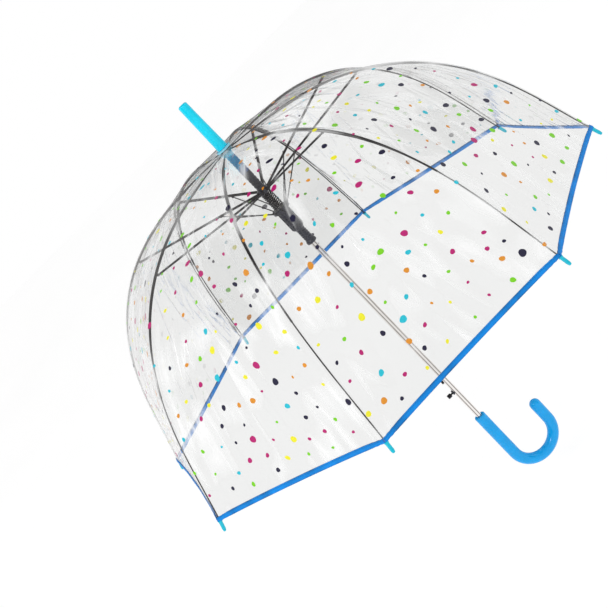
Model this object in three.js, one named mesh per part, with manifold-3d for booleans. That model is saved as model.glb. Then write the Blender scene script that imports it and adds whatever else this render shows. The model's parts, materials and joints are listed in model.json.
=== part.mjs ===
// Clear dome umbrella, open, standing on its shaft axis.
// Millimetres, +Z up. The origin is on the shaft axis at the middle of the straight grip,
// the crook opens towards +X and the release button faces -X.

import * as THREE from 'three';
import { mergeVertices } from 'three/addons/utils/BufferGeometryUtils.js';
import Module from 'manifold-3d';

const wasm = await Module();
wasm.setup();

// ---- sizes ----------------------------------------------------------------------------

const gap = 0.3; // between pieces that touch
const ribCount = 8;
const firstRibAngle = 22.5; // degrees from the crook's side

// shaft and crook handle
const shaftRadius = 5;
const shaftWall = 0.7;
const gripRadius = 10;
const gripLength = 96;
const crookBendRadius = 41.5;
const crookReturnLength = 34;
const gripEdgeRound = 1.2;
const shaftSocketDepth = 35;

// crown
const pivotPastShaft = 4.5; // rib ends on the notch, strut ends on the hub
const pivotWireRadius = 0.55;

// ribs, lengths along the rib from its crown pivot
const ribShapedLength = 610;
const ribRodInTip = 12; // the rod runs this far past the shaped length, into its tip
const ribCrownSlope = 2.5; // degrees below horizontal
const ribTipSlope = 69.4;
const ribBendInMiddle = 1.44; // 0 bends evenly, 1.5 puts nearly all of the bend mid-length
const ribBendTowardsCrown = 0.25; // 0 keeps the bend mid-length, more moves it to the crown's side
const ribWidth = 3.4;
const ribDepth = 2.4;
const ribWall = 0.7;
const ribRodRadius = 1.2;
const ribTailPastPivot = 1.2;
const strutPivotAlongRib = 226;
const strutPivotBelowRib = 3.8;
const firstFlexPastStrutPivot = 4;
const secondFlexAlongRib = 402;
const flexGap = 0.3;
const flexLean = 0.16; // each end face leans back, so that the rib can straighten

// rivets
const rivetRadius = 0.8;
const rivetHeadRadius = 1.5;
const rivetHeadThickness = 0.5;
const lugThickness = 2;
const lugRadius = 1.7;

// struts and links
const strutWall = 0.8;
const strutDepth = 2.8;
const linkPivotAlongStrut = 70; // from the hub end
const linkWireRadius = 0.9;
const linkEyeRadius = 2;
const linkEyeThickness = 1.6;
const linkSideOffset = 3.9;
const runnerPivotBelowHub = 40;
const runnerPivotPastShaft = 8.2;
const foldedStrutTilt = 87.8; // degrees above horizontal when the canopy is folded

// top notch, hub and spring
const notchRimPastPivot = 2.3;
const notchHeight = 6;
const notchCoreWall = 1.9; // around the shaft's bore, under the slots and down the sleeve
const hubHeight = 8;
const springWireRadius = 0.65;
const springPastShaft = 2; // to the middle of the wire
const springTurns = 5.5;

// runner
const flangeHeight = 6;
const flangeRim = 2.3; // past the link pivots
const runnerUpperWall = 5.2;
const runnerUpperLength = 38;
const runnerLowerWall = 2.2;
const runnerLowerLength = 26;
const runnerFootWall = 3.5;
const runnerFootLength = 4;
const runnerTaper = 3;
const catchSlitHeight = 16;

// release latch on the shaft
const buttonAboveGrip = 64;
const buttonRadius = 3.7;
const buttonLength = 6.8;
const buttonPress = 3.2;
const bossRadius = 4.3;
const bossWall = 1.4;
const stemRadius = 1.6;
const catchWidth = 2.4;
const catchPastShaft = 3;
const catchLength = 6;
const catchAboveButton = 23.8;
const catchAboveRunnerFoot = 1.5; // when the canopy is folded
const leafThickness = 0.8;
const leafInset = 1.6;

// canopy, edge binding and tips
const canopyOffRib = 0.5; // clearance over the ribs' top edges
const canopyThickness = 0.8;
const canopyHoleClearance = 1.2;
const bindingWidth = 8;
const bindingThickness = 1.6;
const tipRadius = 3;
const tipLength = 18.2;
const tipEndRadius = 2.3;

// crown washer and ferrule
const washerRadius = 13;
const washerThickness = 3;
const ferruleLength = 90;
const ferruleBaseRadius = 9.25;
const ferruleTopRadius = 8;
const ferruleEdge = 1.5;
const ferruleSocketDepth = 26;

// ---- places worked out from the sizes ---------------------------------------------------

const degrees = Math.PI / 180;
const boreRadius = shaftRadius + gap;
const pivotCircleRadius = shaftRadius + pivotPastShaft;
const notchRadius = pivotCircleRadius + notchRimPastPivot;
const notchSlotFloorRadius = boreRadius + notchCoreWall;
const notchSleeveRadius = boreRadius + notchCoreWall;
const springCoilRadius = shaftRadius + springPastShaft;
const runnerPivotRadius = shaftRadius + runnerPivotPastShaft;
const runnerUpperRadius = boreRadius + runnerUpperWall;
const runnerLowerRadius = boreRadius + runnerLowerWall;
const runnerFootRadius = boreRadius + runnerFootWall;
const canopyHoleRadius = shaftRadius + canopyHoleClearance;
const bossTop = boreRadius + bossWall; // this and the next three are from the shaft axis
const buttonBase = bossTop + buttonPress + gap;
const buttonTop = buttonBase + buttonLength;
const catchReach = shaftRadius + catchPastShaft;
const gripTop = gripLength / 2;
const ribLength = ribShapedLength + ribRodInTip;
const ribShape = ribCurve();
const edgeDrop = (ribWidth / 2) * Math.tan(Math.PI / ribCount); // film beside the rib's middle
const canopyAboveRib = ribDepth / 2 + edgeDrop + canopyOffRib;

// The strut is as long as the rib's part above it, so the hub pivot lies as far below the
// strut's outer pivot as the crown pivot lies above it, at every stage of folding.
const strutPivotFromCrown = pointBeside(pointOnCurve(strutPivotAlongRib), -strutPivotBelowRib);
const strutReach = strutPivotFromCrown.x - pivotCircleRadius;
const strutRise = -strutPivotFromCrown.z;
const strutLength = Math.hypot(strutReach, strutRise);
const strutTilt = Math.atan2(strutRise, strutReach);
const strutWidth = lugThickness + 2 * (gap + strutWall);

// The folded struts, links and runner stand one above the other over the catch, which sets the
// height of the crown.
const foldedTilt = foldedStrutTilt * degrees;
const linkReach = pivotCircleRadius + linkPivotAlongStrut * Math.cos(strutTilt) - runnerPivotRadius;
const linkRise = linkPivotAlongStrut * Math.sin(strutTilt) + runnerPivotBelowHub;
const foldedLinkReach = pivotCircleRadius + linkPivotAlongStrut * Math.cos(foldedTilt) - runnerPivotRadius;
const foldedLinkRise = Math.sqrt(linkReach ** 2 + linkRise ** 2 - foldedLinkReach ** 2);
const foldedRunnerBelowHub = foldedLinkRise - linkPivotAlongStrut * Math.sin(foldedTilt);
const runnerBodyLength = runnerUpperLength + runnerTaper + runnerLowerLength + runnerFootLength;
const runnerBelowPivot = flangeHeight / 2 + runnerBodyLength;
const buttonHeight = gripTop + buttonAboveGrip;
const catchBottom = buttonHeight + catchAboveButton;
const catchTop = catchBottom + catchLength;
const foldedHubHeight = catchBottom - catchAboveRunnerFoot + runnerBelowPivot + foldedRunnerBelowHub;
const crownPivotHeight = foldedHubHeight + 2 * strutLength * Math.sin(foldedTilt);
const hubPivotHeight = crownPivotHeight - 2 * strutRise;
const runnerPivotHeight = hubPivotHeight - runnerPivotBelowHub;

const strutPivot = pointBeside(ribPoint(strutPivotAlongRib), -strutPivotBelowRib);
const canopyEnd = ribShapedLength - bindingWidth;
const canopyTop = crownPivotHeight + canopyAboveRib + canopyThickness;
const washerBottom = canopyTop + gap;
const ferruleBase = washerBottom + washerThickness + gap;
const firstFlexAlongRib = strutPivotAlongRib + firstFlexPastStrutPivot;

// ---- materials --------------------------------------------------------------------------

const materials = {
  steel: { color: 0xc9ccd0, roughness: 0.22, metalness: 1 },
  darkSteel: { color: 0x1f2023, roughness: 0.42, metalness: 0.6 },
  blackPlastic: { color: 0x202024, roughness: 0.45, metalness: 0 },
  springSteel: { color: 0x3a3b40, roughness: 0.35, metalness: 0.9 },
  azurePlastic: { color: 0x14a6f0, roughness: 0.25, metalness: 0 },
  cyanPlastic: { color: 0x18cdf5, roughness: 0.22, metalness: 0 },
  blueFabric: { color: 0x1583e0, roughness: 0.7, metalness: 0 },
  paleWasher: { color: 0xb9e6f2, roughness: 0.3, metalness: 0 },
  clearFilm: { color: 0xeef0f3, roughness: 0.12, metalness: 0, transparent: true, opacity: 0.25 },
};

// ---- solid helpers ----------------------------------------------------------------------

function toManifold(geometry) {
  const plain = geometry.clone();
  plain.deleteAttribute('normal');
  plain.deleteAttribute('uv');
  const merged = mergeVertices(plain, 1e-5);
  const vertProperties = new Float32Array(merged.attributes.position.array);
  const triVerts = new Uint32Array(merged.index.array);
  return new wasm.Manifold(new wasm.Mesh({ numProp: 3, vertProperties, triVerts }));
}

function toGeometry(solid) {
  const mesh = solid.getMesh();
  const geometry = new THREE.BufferGeometry();
  geometry.setAttribute('position', new THREE.BufferAttribute(mesh.vertProperties, 3));
  geometry.setIndex(new THREE.BufferAttribute(mesh.triVerts, 1));
  return geometry;
}

function carve(base, { add = [], cut = [] }) {
  let solid = toManifold(base);
  for (const geometry of cut) solid = solid.subtract(toManifold(geometry));
  for (const geometry of add) solid = solid.add(toManifold(geometry));
  return toGeometry(solid);
}

function box(x0, x1, y0, y1, z0, z1) {
  const geometry = new THREE.BoxGeometry(x1 - x0, y1 - y0, z1 - z0);
  return geometry.translate((x0 + x1) / 2, (y0 + y1) / 2, (z0 + z1) / 2);
}

// A cylinder across the rib's plane, from y0 to y1.
function crossPin(x, z, radius, y0, y1, sides = 8) {
  const geometry = new THREE.CylinderGeometry(radius, radius, y1 - y0, sides);
  return geometry.translate(x, (y0 + y1) / 2, z);
}

// A cylinder standing out from the shaft towards -X, between two distances from its axis.
function radialPin(z, radius, from, to, sides = 12) {
  const geometry = new THREE.CylinderGeometry(radius, radius, to - from, sides);
  return geometry.rotateZ(Math.PI / 2).translate(-(from + to) / 2, 0, z);
}

function turned(profile, sides = 24) {
  const closed = [...profile, profile[0]].map(([r, z]) => new THREE.Vector2(r, z));
  const geometry = new THREE.LatheGeometry(closed, sides);
  return geometry.rotateX(Math.PI / 2);
}

function aroundShaft(geometry, index) {
  return geometry.clone().rotateZ(ribAngle(index));
}

function circleSection(radius, sides) {
  return Array.from({ length: sides }, (_, i) => {
    const a = ((i + 0.5) / sides) * 2 * Math.PI;
    return new THREE.Vector2(radius * Math.cos(a), radius * Math.sin(a));
  });
}

// Sweeps a section (x across the plane, y outwards) along stations in the XZ plane. A station is
// { x, z, slope } with slope in radians below horizontal, an optional scale for the section and
// an optional lean, which tips the section along the path.
function sweepInPlane(section, stations) {
  const positions = [];
  for (const { x, z, slope, scale = 1, lean = 0 } of stations) {
    for (const point of section) {
      const across = point.x * scale;
      const out = point.y * scale;
      const along = lean * out;
      positions.push(
        x + out * Math.sin(slope) + along * Math.cos(slope),
        across,
        z + out * Math.cos(slope) - along * Math.sin(slope),
      );
    }
  }
  const n = section.length;
  const last = (stations.length - 1) * n;
  const indices = [];
  for (let i = 0; i < last; i += n) {
    for (let j = 0; j < n; j++) {
      const k = (j + 1) % n;
      indices.push(i + j, i + k, i + n + k, i + j, i + n + k, i + n + j);
    }
  }
  for (const [a, b, c] of THREE.ShapeUtils.triangulateShape(section, [])) {
    indices.push(a, c, b, last + a, last + b, last + c);
  }
  const geometry = new THREE.BufferGeometry();
  geometry.setAttribute('position', new THREE.Float32BufferAttribute(positions, 3));
  geometry.setIndex(indices);
  return geometry;
}

// ---- the rib's curve --------------------------------------------------------------------

function ribSlope(along) {
  const t = THREE.MathUtils.clamp(along / ribShapedLength, 0, 1);
  const share = t + t * (1 - t) * (ribBendTowardsCrown - ribBendInMiddle * (1 - 2 * t));
  return (ribCrownSlope + (ribTipSlope - ribCrownSlope) * share) * degrees;
}

// Heights along this curve are measured from the crown pivot.
function ribCurve() {
  const points = [{ x: pivotCircleRadius, z: 0 }];
  for (let i = 0; i < ribLength + tipLength; i++) {
    const slope = ribSlope(i + 0.5);
    const { x, z } = points[i];
    points.push({ x: x + Math.cos(slope), z: z - Math.sin(slope) });
  }
  return points;
}

function pointOnCurve(along) {
  const slope = ribSlope(along);
  const i = THREE.MathUtils.clamp(Math.floor(along), 0, ribShape.length - 2);
  const rest = along - i;
  const { x, z } = ribShape[i];
  return { x: x + rest * Math.cos(slope), z: z - rest * Math.sin(slope), slope };
}

function ribPoint(along) {
  const point = pointOnCurve(along);
  return { ...point, z: point.z + crownPivotHeight };
}

function pointBeside({ x, z, slope }, out) {
  return { x: x + out * Math.sin(slope), z: z + out * Math.cos(slope), slope };
}

function ribAngle(index) {
  return (firstRibAngle + (index * 360) / ribCount) * degrees;
}

function ribStations(from, to, count, { leanStart = 0, leanEnd = 0 } = {}) {
  return Array.from({ length: count + 1 }, (_, i) => {
    const point = ribPoint(from + ((to - from) * i) / count);
    return { ...point, lean: i === 0 ? leanStart : i === count ? leanEnd : 0 };
  });
}

// ---- ribs -------------------------------------------------------------------------------

function channelSection(width, depth, wall, opensUp) {
  const w = width / 2;
  const d = depth / 2;
  const inner = w - wall;
  const floor = d - wall;
  const down = [[-w, -d], [-inner, -d], [-inner, floor], [inner, floor], [inner, -d], [w, -d]];
  const points = [...down, [w, d], [-w, d]];
  const side = opensUp ? -1 : 1;
  return points.map(([x, y]) => new THREE.Vector2(side * x, side * y));
}

function ribInner() {
  const section = channelSection(ribWidth, ribDepth, ribWall, false);
  const end = firstFlexAlongRib - flexGap / 2 - flexLean * ribDepth / 2;
  const channel = sweepInPlane(section, ribStations(-ribTailPastPivot, end, 7, { leanEnd: -flexLean }));
  const head = lugThickness / 2 + gap + strutWall + gap;
  const { x, z, slope } = strutPivot;
  const lug = new THREE.Shape();
  lug.absarc(0, 0, lugRadius, Math.PI, 2 * Math.PI);
  lug.lineTo(lugRadius, strutPivotBelowRib + ribDepth / 2 - ribWall / 2);
  lug.lineTo(-lugRadius, strutPivotBelowRib + ribDepth / 2 - ribWall / 2);
  const plate = new THREE.ExtrudeGeometry(lug, {
    depth: lugThickness, bevelEnabled: false, curveSegments: 4,
  });
  plate.translate(0, 0, -lugThickness / 2).rotateX(Math.PI / 2).rotateY(slope).translate(x, 0, z);
  return carve(channel, {
    cut: [crossPin(pivotCircleRadius, crownPivotHeight, pivotWireRadius + gap, -ribWidth, ribWidth)],
    add: [
      plate,
      crossPin(x, z, rivetRadius, -head, head),
      crossPin(x, z, rivetHeadRadius, head, head + rivetHeadThickness),
      crossPin(x, z, rivetHeadRadius, -head - rivetHeadThickness, -head),
    ],
  });
}

function ribMiddle() {
  const section = channelSection(ribWidth, ribDepth, ribWall, false);
  const inset = flexGap / 2 + flexLean * ribDepth / 2;
  const from = firstFlexAlongRib + inset;
  const to = secondFlexAlongRib - inset;
  return sweepInPlane(section, ribStations(from, to, 6, { leanStart: flexLean, leanEnd: -flexLean }));
}

function ribOuter() {
  const inset = flexGap / 2 + flexLean * ribDepth / 2;
  const from = secondFlexAlongRib + inset;
  const stations = ribStations(from, ribLength, 6, { leanStart: flexLean });
  return sweepInPlane(circleSection(ribRodRadius, 6), stations);
}

function tip() {
  const start = ribShapedLength + gap;
  const point = ribPoint(start);
  const bore = ribRodRadius + gap;
  const seat = ribLength + gap - start;
  const profile = [
    [bore, 0], [tipRadius, 0], [tipRadius, tipLength - 3], [tipEndRadius, tipLength], [0, tipLength],
    [0, seat], [bore, seat],
  ];
  const points = [...profile, profile[0]].map(([r, z]) => new THREE.Vector2(r, z));
  const geometry = new THREE.LatheGeometry(points, 8);
  return geometry.rotateZ(-Math.PI / 2).rotateY(point.slope).translate(point.x, 0, point.z);
}

// ---- struts and links -------------------------------------------------------------------

// Built lying along +X from the hub pivot, then tilted and moved into place.
function strut() {
  const r = strutDepth / 2;
  const outline = new THREE.Shape();
  outline.absarc(0, 0, r, Math.PI / 2, 1.5 * Math.PI);
  outline.absarc(strutLength, 0, r, -Math.PI / 2, Math.PI / 2);
  const bar = new THREE.ExtrudeGeometry(outline, {
    depth: strutWidth, bevelEnabled: false, curveSegments: 3,
  });
  bar.translate(0, 0, -strutWidth / 2).rotateX(Math.PI / 2);
  const inner = strutWidth / 2 - strutWall;
  const side = strutWidth / 2;
  const reach = strutLength + 2 * r;
  const eyeEdge = linkSideOffset + linkEyeThickness / 2 + gap;
  const pin = (x, radius) => crossPin(x, 0, radius, -side - 1, side + 1);
  const solid = carve(bar, {
    cut: [
      box(-2 * r, reach, -inner, inner, -r + strutWall, 2 * r),
      box(-2 * r, r + gap, -inner, inner, -2 * r, 2 * r),
      box(strutLength - lugRadius - 2 * gap, reach, -inner, inner, -2 * r, 2 * r),
      pin(0, pivotWireRadius + gap),
      pin(strutLength, rivetRadius + gap),
    ],
    add: [
      crossPin(linkPivotAlongStrut, 0, rivetRadius, inner, eyeEdge),
      crossPin(linkPivotAlongStrut, 0, rivetHeadRadius, eyeEdge, eyeEdge + rivetHeadThickness),
    ],
  });
  return solid.rotateY(-strutTilt).translate(pivotCircleRadius, 0, hubPivotHeight);
}

function link() {
  const upper = {
    x: pivotCircleRadius + linkPivotAlongStrut * Math.cos(strutTilt),
    z: hubPivotHeight + linkPivotAlongStrut * Math.sin(strutTilt),
  };
  const lower = { x: runnerPivotRadius, z: runnerPivotHeight };
  const length = Math.hypot(linkReach, linkRise);
  const y0 = linkSideOffset - linkEyeThickness / 2;
  const y1 = linkSideOffset + linkEyeThickness / 2;
  const wire = new THREE.CylinderGeometry(linkWireRadius, linkWireRadius, length - 2 * linkEyeRadius + 1, 6);
  wire.rotateZ(Math.PI / 2).translate(length / 2, linkSideOffset, 0);
  const hole = (x) => crossPin(x, 0, rivetRadius + gap, y0 - 1, y1 + 1);
  const eyes = [0, length].map((x) => carve(crossPin(x, 0, linkEyeRadius, y0, y1, 10), { cut: [hole(x)] }));
  const solid = carve(wire, { cut: [0, length].map((x) => hole(x)), add: eyes });
  const tilt = Math.atan2(upper.z - lower.z, upper.x - lower.x);
  return solid.rotateY(-tilt).translate(lower.x, 0, lower.z);
}

// ---- top notch, hub, spring and runner --------------------------------------------------

function slottedRing(profile, pivotHeight, slotWidth, from, to) {
  const cut = [];
  const add = [];
  for (let i = 0; i < ribCount; i++) {
    const slot = box(notchSlotFloorRadius, notchRadius + 1, -slotWidth / 2, slotWidth / 2, from, to);
    const half = slotWidth / 2 + 0.4;
    cut.push(aroundShaft(slot, i));
    add.push(aroundShaft(crossPin(pivotCircleRadius, pivotHeight, pivotWireRadius, -half, half, 6), i));
  }
  return carve(turned(profile), { cut, add });
}

function topNotch() {
  const top = crownPivotHeight + canopyAboveRib - gap;
  const under = crownPivotHeight - notchHeight / 2;
  const sleeveEnd = hubPivotHeight + hubHeight / 2 + gap;
  const profile = [
    [boreRadius, sleeveEnd], [notchSleeveRadius, sleeveEnd], [notchSleeveRadius, under],
    [notchRadius, under], [notchRadius, top - 1], [notchRadius - 1, top], [boreRadius, top],
  ];
  return slottedRing(profile, crownPivotHeight, ribWidth + 2 * gap, under - 1, top + 1);
}

function hub() {
  const bottom = hubPivotHeight - hubHeight / 2;
  const top = hubPivotHeight + hubHeight / 2;
  const profile = [
    [boreRadius, bottom], [notchRadius - 1, bottom], [notchRadius, bottom + 1],
    [notchRadius, top - 1], [notchRadius - 1, top], [boreRadius, top],
  ];
  return slottedRing(profile, hubPivotHeight, strutWidth + 2 * gap, bottom - 1, top + 1);
}

class Coil extends THREE.Curve {
  constructor(radius, bottom, top, turns) {
    super();
    Object.assign(this, { radius, bottom, top, turns });
  }

  getPoint(t, target = new THREE.Vector3()) {
    const a = t * this.turns * 2 * Math.PI;
    const z = this.bottom + (this.top - this.bottom) * t;
    return target.set(this.radius * Math.cos(a), this.radius * Math.sin(a), z);
  }
}

function runnerSpring() {
  const margin = springWireRadius * 1.1 + gap;
  const bottom = runnerPivotHeight + flangeHeight / 2 + margin;
  const top = hubPivotHeight - hubHeight / 2 - margin;
  const wire = new THREE.Shape(circleSection(springWireRadius, 5));
  return new THREE.ExtrudeGeometry(wire, {
    steps: Math.round(springTurns * 10),
    extrudePath: new Coil(springCoilRadius, bottom, top, springTurns),
    bevelEnabled: false,
  });
}

function runner() {
  const z = runnerPivotHeight;
  const flange = runnerPivotRadius + flangeRim;
  const under = z - flangeHeight / 2;
  const step = under - runnerUpperLength;
  const foot = step - runnerLowerLength - runnerTaper;
  const end = foot - runnerFootLength;
  const profile = [
    [boreRadius, end], [runnerFootRadius, end], [runnerFootRadius, foot], [runnerLowerRadius, foot + 2],
    [runnerLowerRadius, step - runnerTaper], [runnerUpperRadius, step], [runnerUpperRadius, under],
    [flange, under], [flange, z + flangeHeight / 2], [boreRadius, z + flangeHeight / 2],
  ];
  const slotFloor = runnerPivotRadius - linkEyeRadius - gap;
  const half = linkEyeThickness / 2 + gap;
  const cut = [box(-flange, 0, -catchWidth / 2 - gap, catchWidth / 2 + gap, end - 1, end + catchSlitHeight)];
  for (let i = 0; i < ribCount; i++) {
    const low = under - 1;
    const high = z + flangeHeight / 2 + 1;
    const slot = box(slotFloor, flange + 2, linkSideOffset - half, linkSideOffset + half, low, high);
    cut.push(aroundShaft(slot, i));
  }
  return carve(turned(profile), { cut });
}

// ---- shaft, latch, handle and ferrule ---------------------------------------------------

function shaftTube() {
  const bottom = gripTop - shaftSocketDepth + gap;
  const top = ferruleBase + ferruleSocketDepth - gap;
  const inner = shaftRadius - shaftWall;
  const tube = turned([[inner, bottom], [shaftRadius, bottom], [shaftRadius, top], [inner, top]]);
  const half = catchWidth / 2 + gap;
  return carve(tube, {
    cut: [
      box(-shaftRadius - 1, 0, -half, half, catchBottom - gap, catchTop + gap),
      radialPin(buttonHeight, stemRadius + gap, 0, shaftRadius + 1),
    ],
  });
}

function buttonHousing() {
  const saddle = radialPin(buttonHeight, bossRadius, 0, bossTop, 16);
  return carve(saddle, {
    cut: [
      new THREE.CylinderGeometry(boreRadius, boreRadius, 4 * bossRadius, 24).rotateX(Math.PI / 2)
        .translate(0, 0, buttonHeight),
      radialPin(buttonHeight, stemRadius + gap, shaftRadius, bossTop + 1),
    ],
  });
}

// Button, stem, leaf and catch are one bent piece: pressing the button draws the catch in.
function releaseLatch() {
  const leafOut = -leafInset - leafThickness;
  const half = catchWidth / 2;
  return carve(box(leafOut, -leafInset, -half, half, buttonHeight - stemRadius, catchTop), {
    add: [
      radialPin(buttonHeight, stemRadius, leafInset + leafThickness / 2, buttonTop - 1),
      radialPin(buttonHeight, buttonRadius, buttonBase, buttonTop, 16),
      box(-catchReach, leafOut + leafThickness / 2, -half, half, catchBottom, catchTop),
    ],
  });
}

function handle() {
  const section = circleSection(gripRadius, 14);
  const stations = [
    { x: 0, z: gripTop, slope: Math.PI / 2, scale: 1 - gripEdgeRound / gripRadius },
    { x: 0, z: gripTop - gripEdgeRound, slope: Math.PI / 2 },
  ];
  const bends = 12;
  for (let i = 0; i <= bends; i++) {
    const turn = (i / bends) * Math.PI;
    stations.push({
      x: crookBendRadius * (1 - Math.cos(turn)),
      z: -gripTop - crookBendRadius * Math.sin(turn),
      slope: Math.PI / 2 - turn,
    });
  }
  for (const lift of [0, 35, 65]) {
    stations.push({
      x: 2 * crookBendRadius,
      z: -gripTop + crookReturnLength + gripRadius * Math.sin(lift * degrees),
      slope: -Math.PI / 2,
      scale: Math.cos(lift * degrees),
    });
  }
  const socket = new THREE.CylinderGeometry(boreRadius, boreRadius, shaftSocketDepth + 1, 24);
  socket.rotateX(Math.PI / 2).translate(0, 0, gripTop - shaftSocketDepth / 2 + 0.5);
  return carve(sweepInPlane(section, stations), { cut: [socket] });
}

function crownWasher() {
  const bottom = washerBottom;
  const top = bottom + washerThickness;
  return turned([[boreRadius, bottom], [washerRadius, bottom], [washerRadius, top], [boreRadius, top]]);
}

function ferrule() {
  const top = ferruleBase + ferruleLength;
  const seat = ferruleBase + ferruleSocketDepth;
  const points = [
    [boreRadius, ferruleBase], [ferruleBaseRadius, ferruleBase], [ferruleTopRadius, top - ferruleEdge],
    [ferruleTopRadius - ferruleEdge, top], [0, top], [0, seat], [boreRadius, seat], [boreRadius, ferruleBase],
  ];
  const profile = points.map(([r, z]) => new THREE.Vector2(r, z));
  return new THREE.LatheGeometry(profile, 20).rotateX(Math.PI / 2);
}

// ---- canopy -----------------------------------------------------------------------------

// An eight-sided shell whose corners lie over the ribs. Each row is a pair of corner points,
// outer and inner, at one distance along the rib.
function domeShell(rows) {
  const loops = [...rows.map((row) => row.outer), ...rows.map((row) => row.inner).reverse()];
  const positions = [];
  for (const { x, z } of loops) {
    for (let i = 0; i < ribCount; i++) {
      positions.push(x * Math.cos(ribAngle(i)), x * Math.sin(ribAngle(i)), z);
    }
  }
  const indices = [];
  loops.forEach((_, row) => {
    const next = (row + 1) % loops.length;
    for (let i = 0; i < ribCount; i++) {
      const j = (i + 1) % ribCount;
      const [a, b] = [row * ribCount + i, row * ribCount + j];
      const [c, d] = [next * ribCount + i, next * ribCount + j];
      indices.push(a, c, d, a, d, b);
    }
  });
  const geometry = new THREE.BufferGeometry();
  geometry.setAttribute('position', new THREE.Float32BufferAttribute(positions, 3));
  geometry.setIndex(indices);
  return geometry;
}

function shellRow(along, thickness) {
  const point = ribPoint(along);
  return { inner: pointBeside(point, canopyAboveRib), outer: pointBeside(point, canopyAboveRib + thickness) };
}

function canopy() {
  const flat = canopyTop - canopyThickness;
  const rows = [{ inner: { x: canopyHoleRadius, z: flat }, outer: { x: canopyHoleRadius, z: canopyTop } }];
  const steps = 14;
  for (let i = 0; i <= steps; i++) {
    rows.push(shellRow((canopyEnd * i) / steps, canopyThickness));
  }
  return domeShell(rows);
}

function edgeBinding() {
  const from = canopyEnd + gap;
  return domeShell([0, 0.5, 1].map((t) => shellRow(from + (ribShapedLength - from) * t, bindingThickness)));
}

// ---- assembly ---------------------------------------------------------------------------

const group = new THREE.Group();

function place(name, geometry, look, turn = 0) {
  const mesh = new THREE.Mesh(geometry, new THREE.MeshStandardMaterial(materials[look]));
  mesh.name = name;
  mesh.rotation.z = turn;
  group.add(mesh);
}

place('shaft_tube', shaftTube(), 'steel');
place('handle', handle(), 'azurePlastic');
place('ferrule', ferrule(), 'cyanPlastic');
place('crown_washer', crownWasher(), 'paleWasher');
place('top_notch', topNotch(), 'azurePlastic');
place('button_housing', buttonHousing(), 'blackPlastic');
place('release_latch', releaseLatch(), 'blackPlastic');
place('hub', hub(), 'blackPlastic');
place('runner_spring', runnerSpring(), 'springSteel');
place('runner', runner(), 'blackPlastic');
place('canopy', canopy(), 'clearFilm');
place('edge_binding', edgeBinding(), 'blueFabric');

const repeated = [
  ['rib_inner', ribInner(), 'darkSteel'],
  ['rib_middle', ribMiddle(), 'darkSteel'],
  ['rib_outer', ribOuter(), 'darkSteel'],
  ['tip', tip(), 'cyanPlastic'],
  ['strut', strut(), 'darkSteel'],
  ['link', link(), 'springSteel'],
];
for (let i = 0; i < ribCount; i++) {
  for (const [name, geometry, look] of repeated) {
    place(`${name}_${i + 1}`, geometry, look, ribAngle(i));
  }
}

export default group;
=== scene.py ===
import json
import math
import random

import bmesh
import bpy
from mathutils import Matrix, Vector, noise


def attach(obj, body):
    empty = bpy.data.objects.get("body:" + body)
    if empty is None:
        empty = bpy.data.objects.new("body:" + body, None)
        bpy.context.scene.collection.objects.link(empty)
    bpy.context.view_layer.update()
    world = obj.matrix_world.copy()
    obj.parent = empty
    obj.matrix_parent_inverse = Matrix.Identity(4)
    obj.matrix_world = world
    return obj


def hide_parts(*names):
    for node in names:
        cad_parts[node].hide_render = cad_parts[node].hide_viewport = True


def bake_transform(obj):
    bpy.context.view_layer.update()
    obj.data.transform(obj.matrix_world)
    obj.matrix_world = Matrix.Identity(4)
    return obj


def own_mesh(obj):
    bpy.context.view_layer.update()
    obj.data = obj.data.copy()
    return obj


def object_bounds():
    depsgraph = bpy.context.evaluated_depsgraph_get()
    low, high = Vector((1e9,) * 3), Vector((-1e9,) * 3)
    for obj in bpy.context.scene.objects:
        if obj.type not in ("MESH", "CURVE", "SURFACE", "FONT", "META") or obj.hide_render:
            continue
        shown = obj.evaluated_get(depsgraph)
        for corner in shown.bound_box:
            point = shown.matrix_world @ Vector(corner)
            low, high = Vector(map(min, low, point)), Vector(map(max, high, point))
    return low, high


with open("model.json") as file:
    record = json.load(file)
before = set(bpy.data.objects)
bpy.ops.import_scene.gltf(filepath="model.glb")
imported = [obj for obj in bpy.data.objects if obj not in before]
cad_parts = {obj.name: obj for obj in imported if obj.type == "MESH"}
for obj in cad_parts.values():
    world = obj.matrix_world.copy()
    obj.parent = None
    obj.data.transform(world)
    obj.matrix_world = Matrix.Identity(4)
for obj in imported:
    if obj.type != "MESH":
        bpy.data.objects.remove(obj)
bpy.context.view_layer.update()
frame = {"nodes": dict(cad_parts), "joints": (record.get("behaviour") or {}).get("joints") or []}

print("frame loaded")

# where the pivots are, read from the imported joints
jointSpot = {j["name"]: Vector(j["pos_m"]) for j in frame["joints"] if j.get("pos_m")}
jointAxis = {j["name"]: Vector(j["axis"]) for j in frame["joints"]}
ribNumbers = range(1, 9)


def foldJoint(k):
    return "fold" if k == 1 else f"rib_{k}_fold"


ribTurn = {k: math.atan2(-jointAxis[foldJoint(k)].x, jointAxis[foldJoint(k)].y) for k in ribNumbers}
crownRadius = jointSpot["fold"].xy.length
crownHeight = jointSpot["fold"].z


def outAlong(k, out, side, height):
    # a point in rib k's own plane: out from the shaft, side across the rib, height above the grip
    a = ribTurn[k]
    return Vector((out * math.cos(a) - side * math.sin(a), out * math.sin(a) + side * math.cos(a), height))


# the curve that every rib, gore and edge follows
ribCurve = {
    "crownSlope": 2.5,      # degrees below level at the crown
    "tipSlope": 69.4,
    "shapedLength": 0.610,
    "bendInMiddle": 1.44,
    "bendTowardsCrown": 0.25,
    "rodLength": 0.622,
    "firstFlex": 0.230,     # along the rib, where the folding lengths meet
    "secondFlex": 0.402,
    "strutBracket": 0.226,
}


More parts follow.
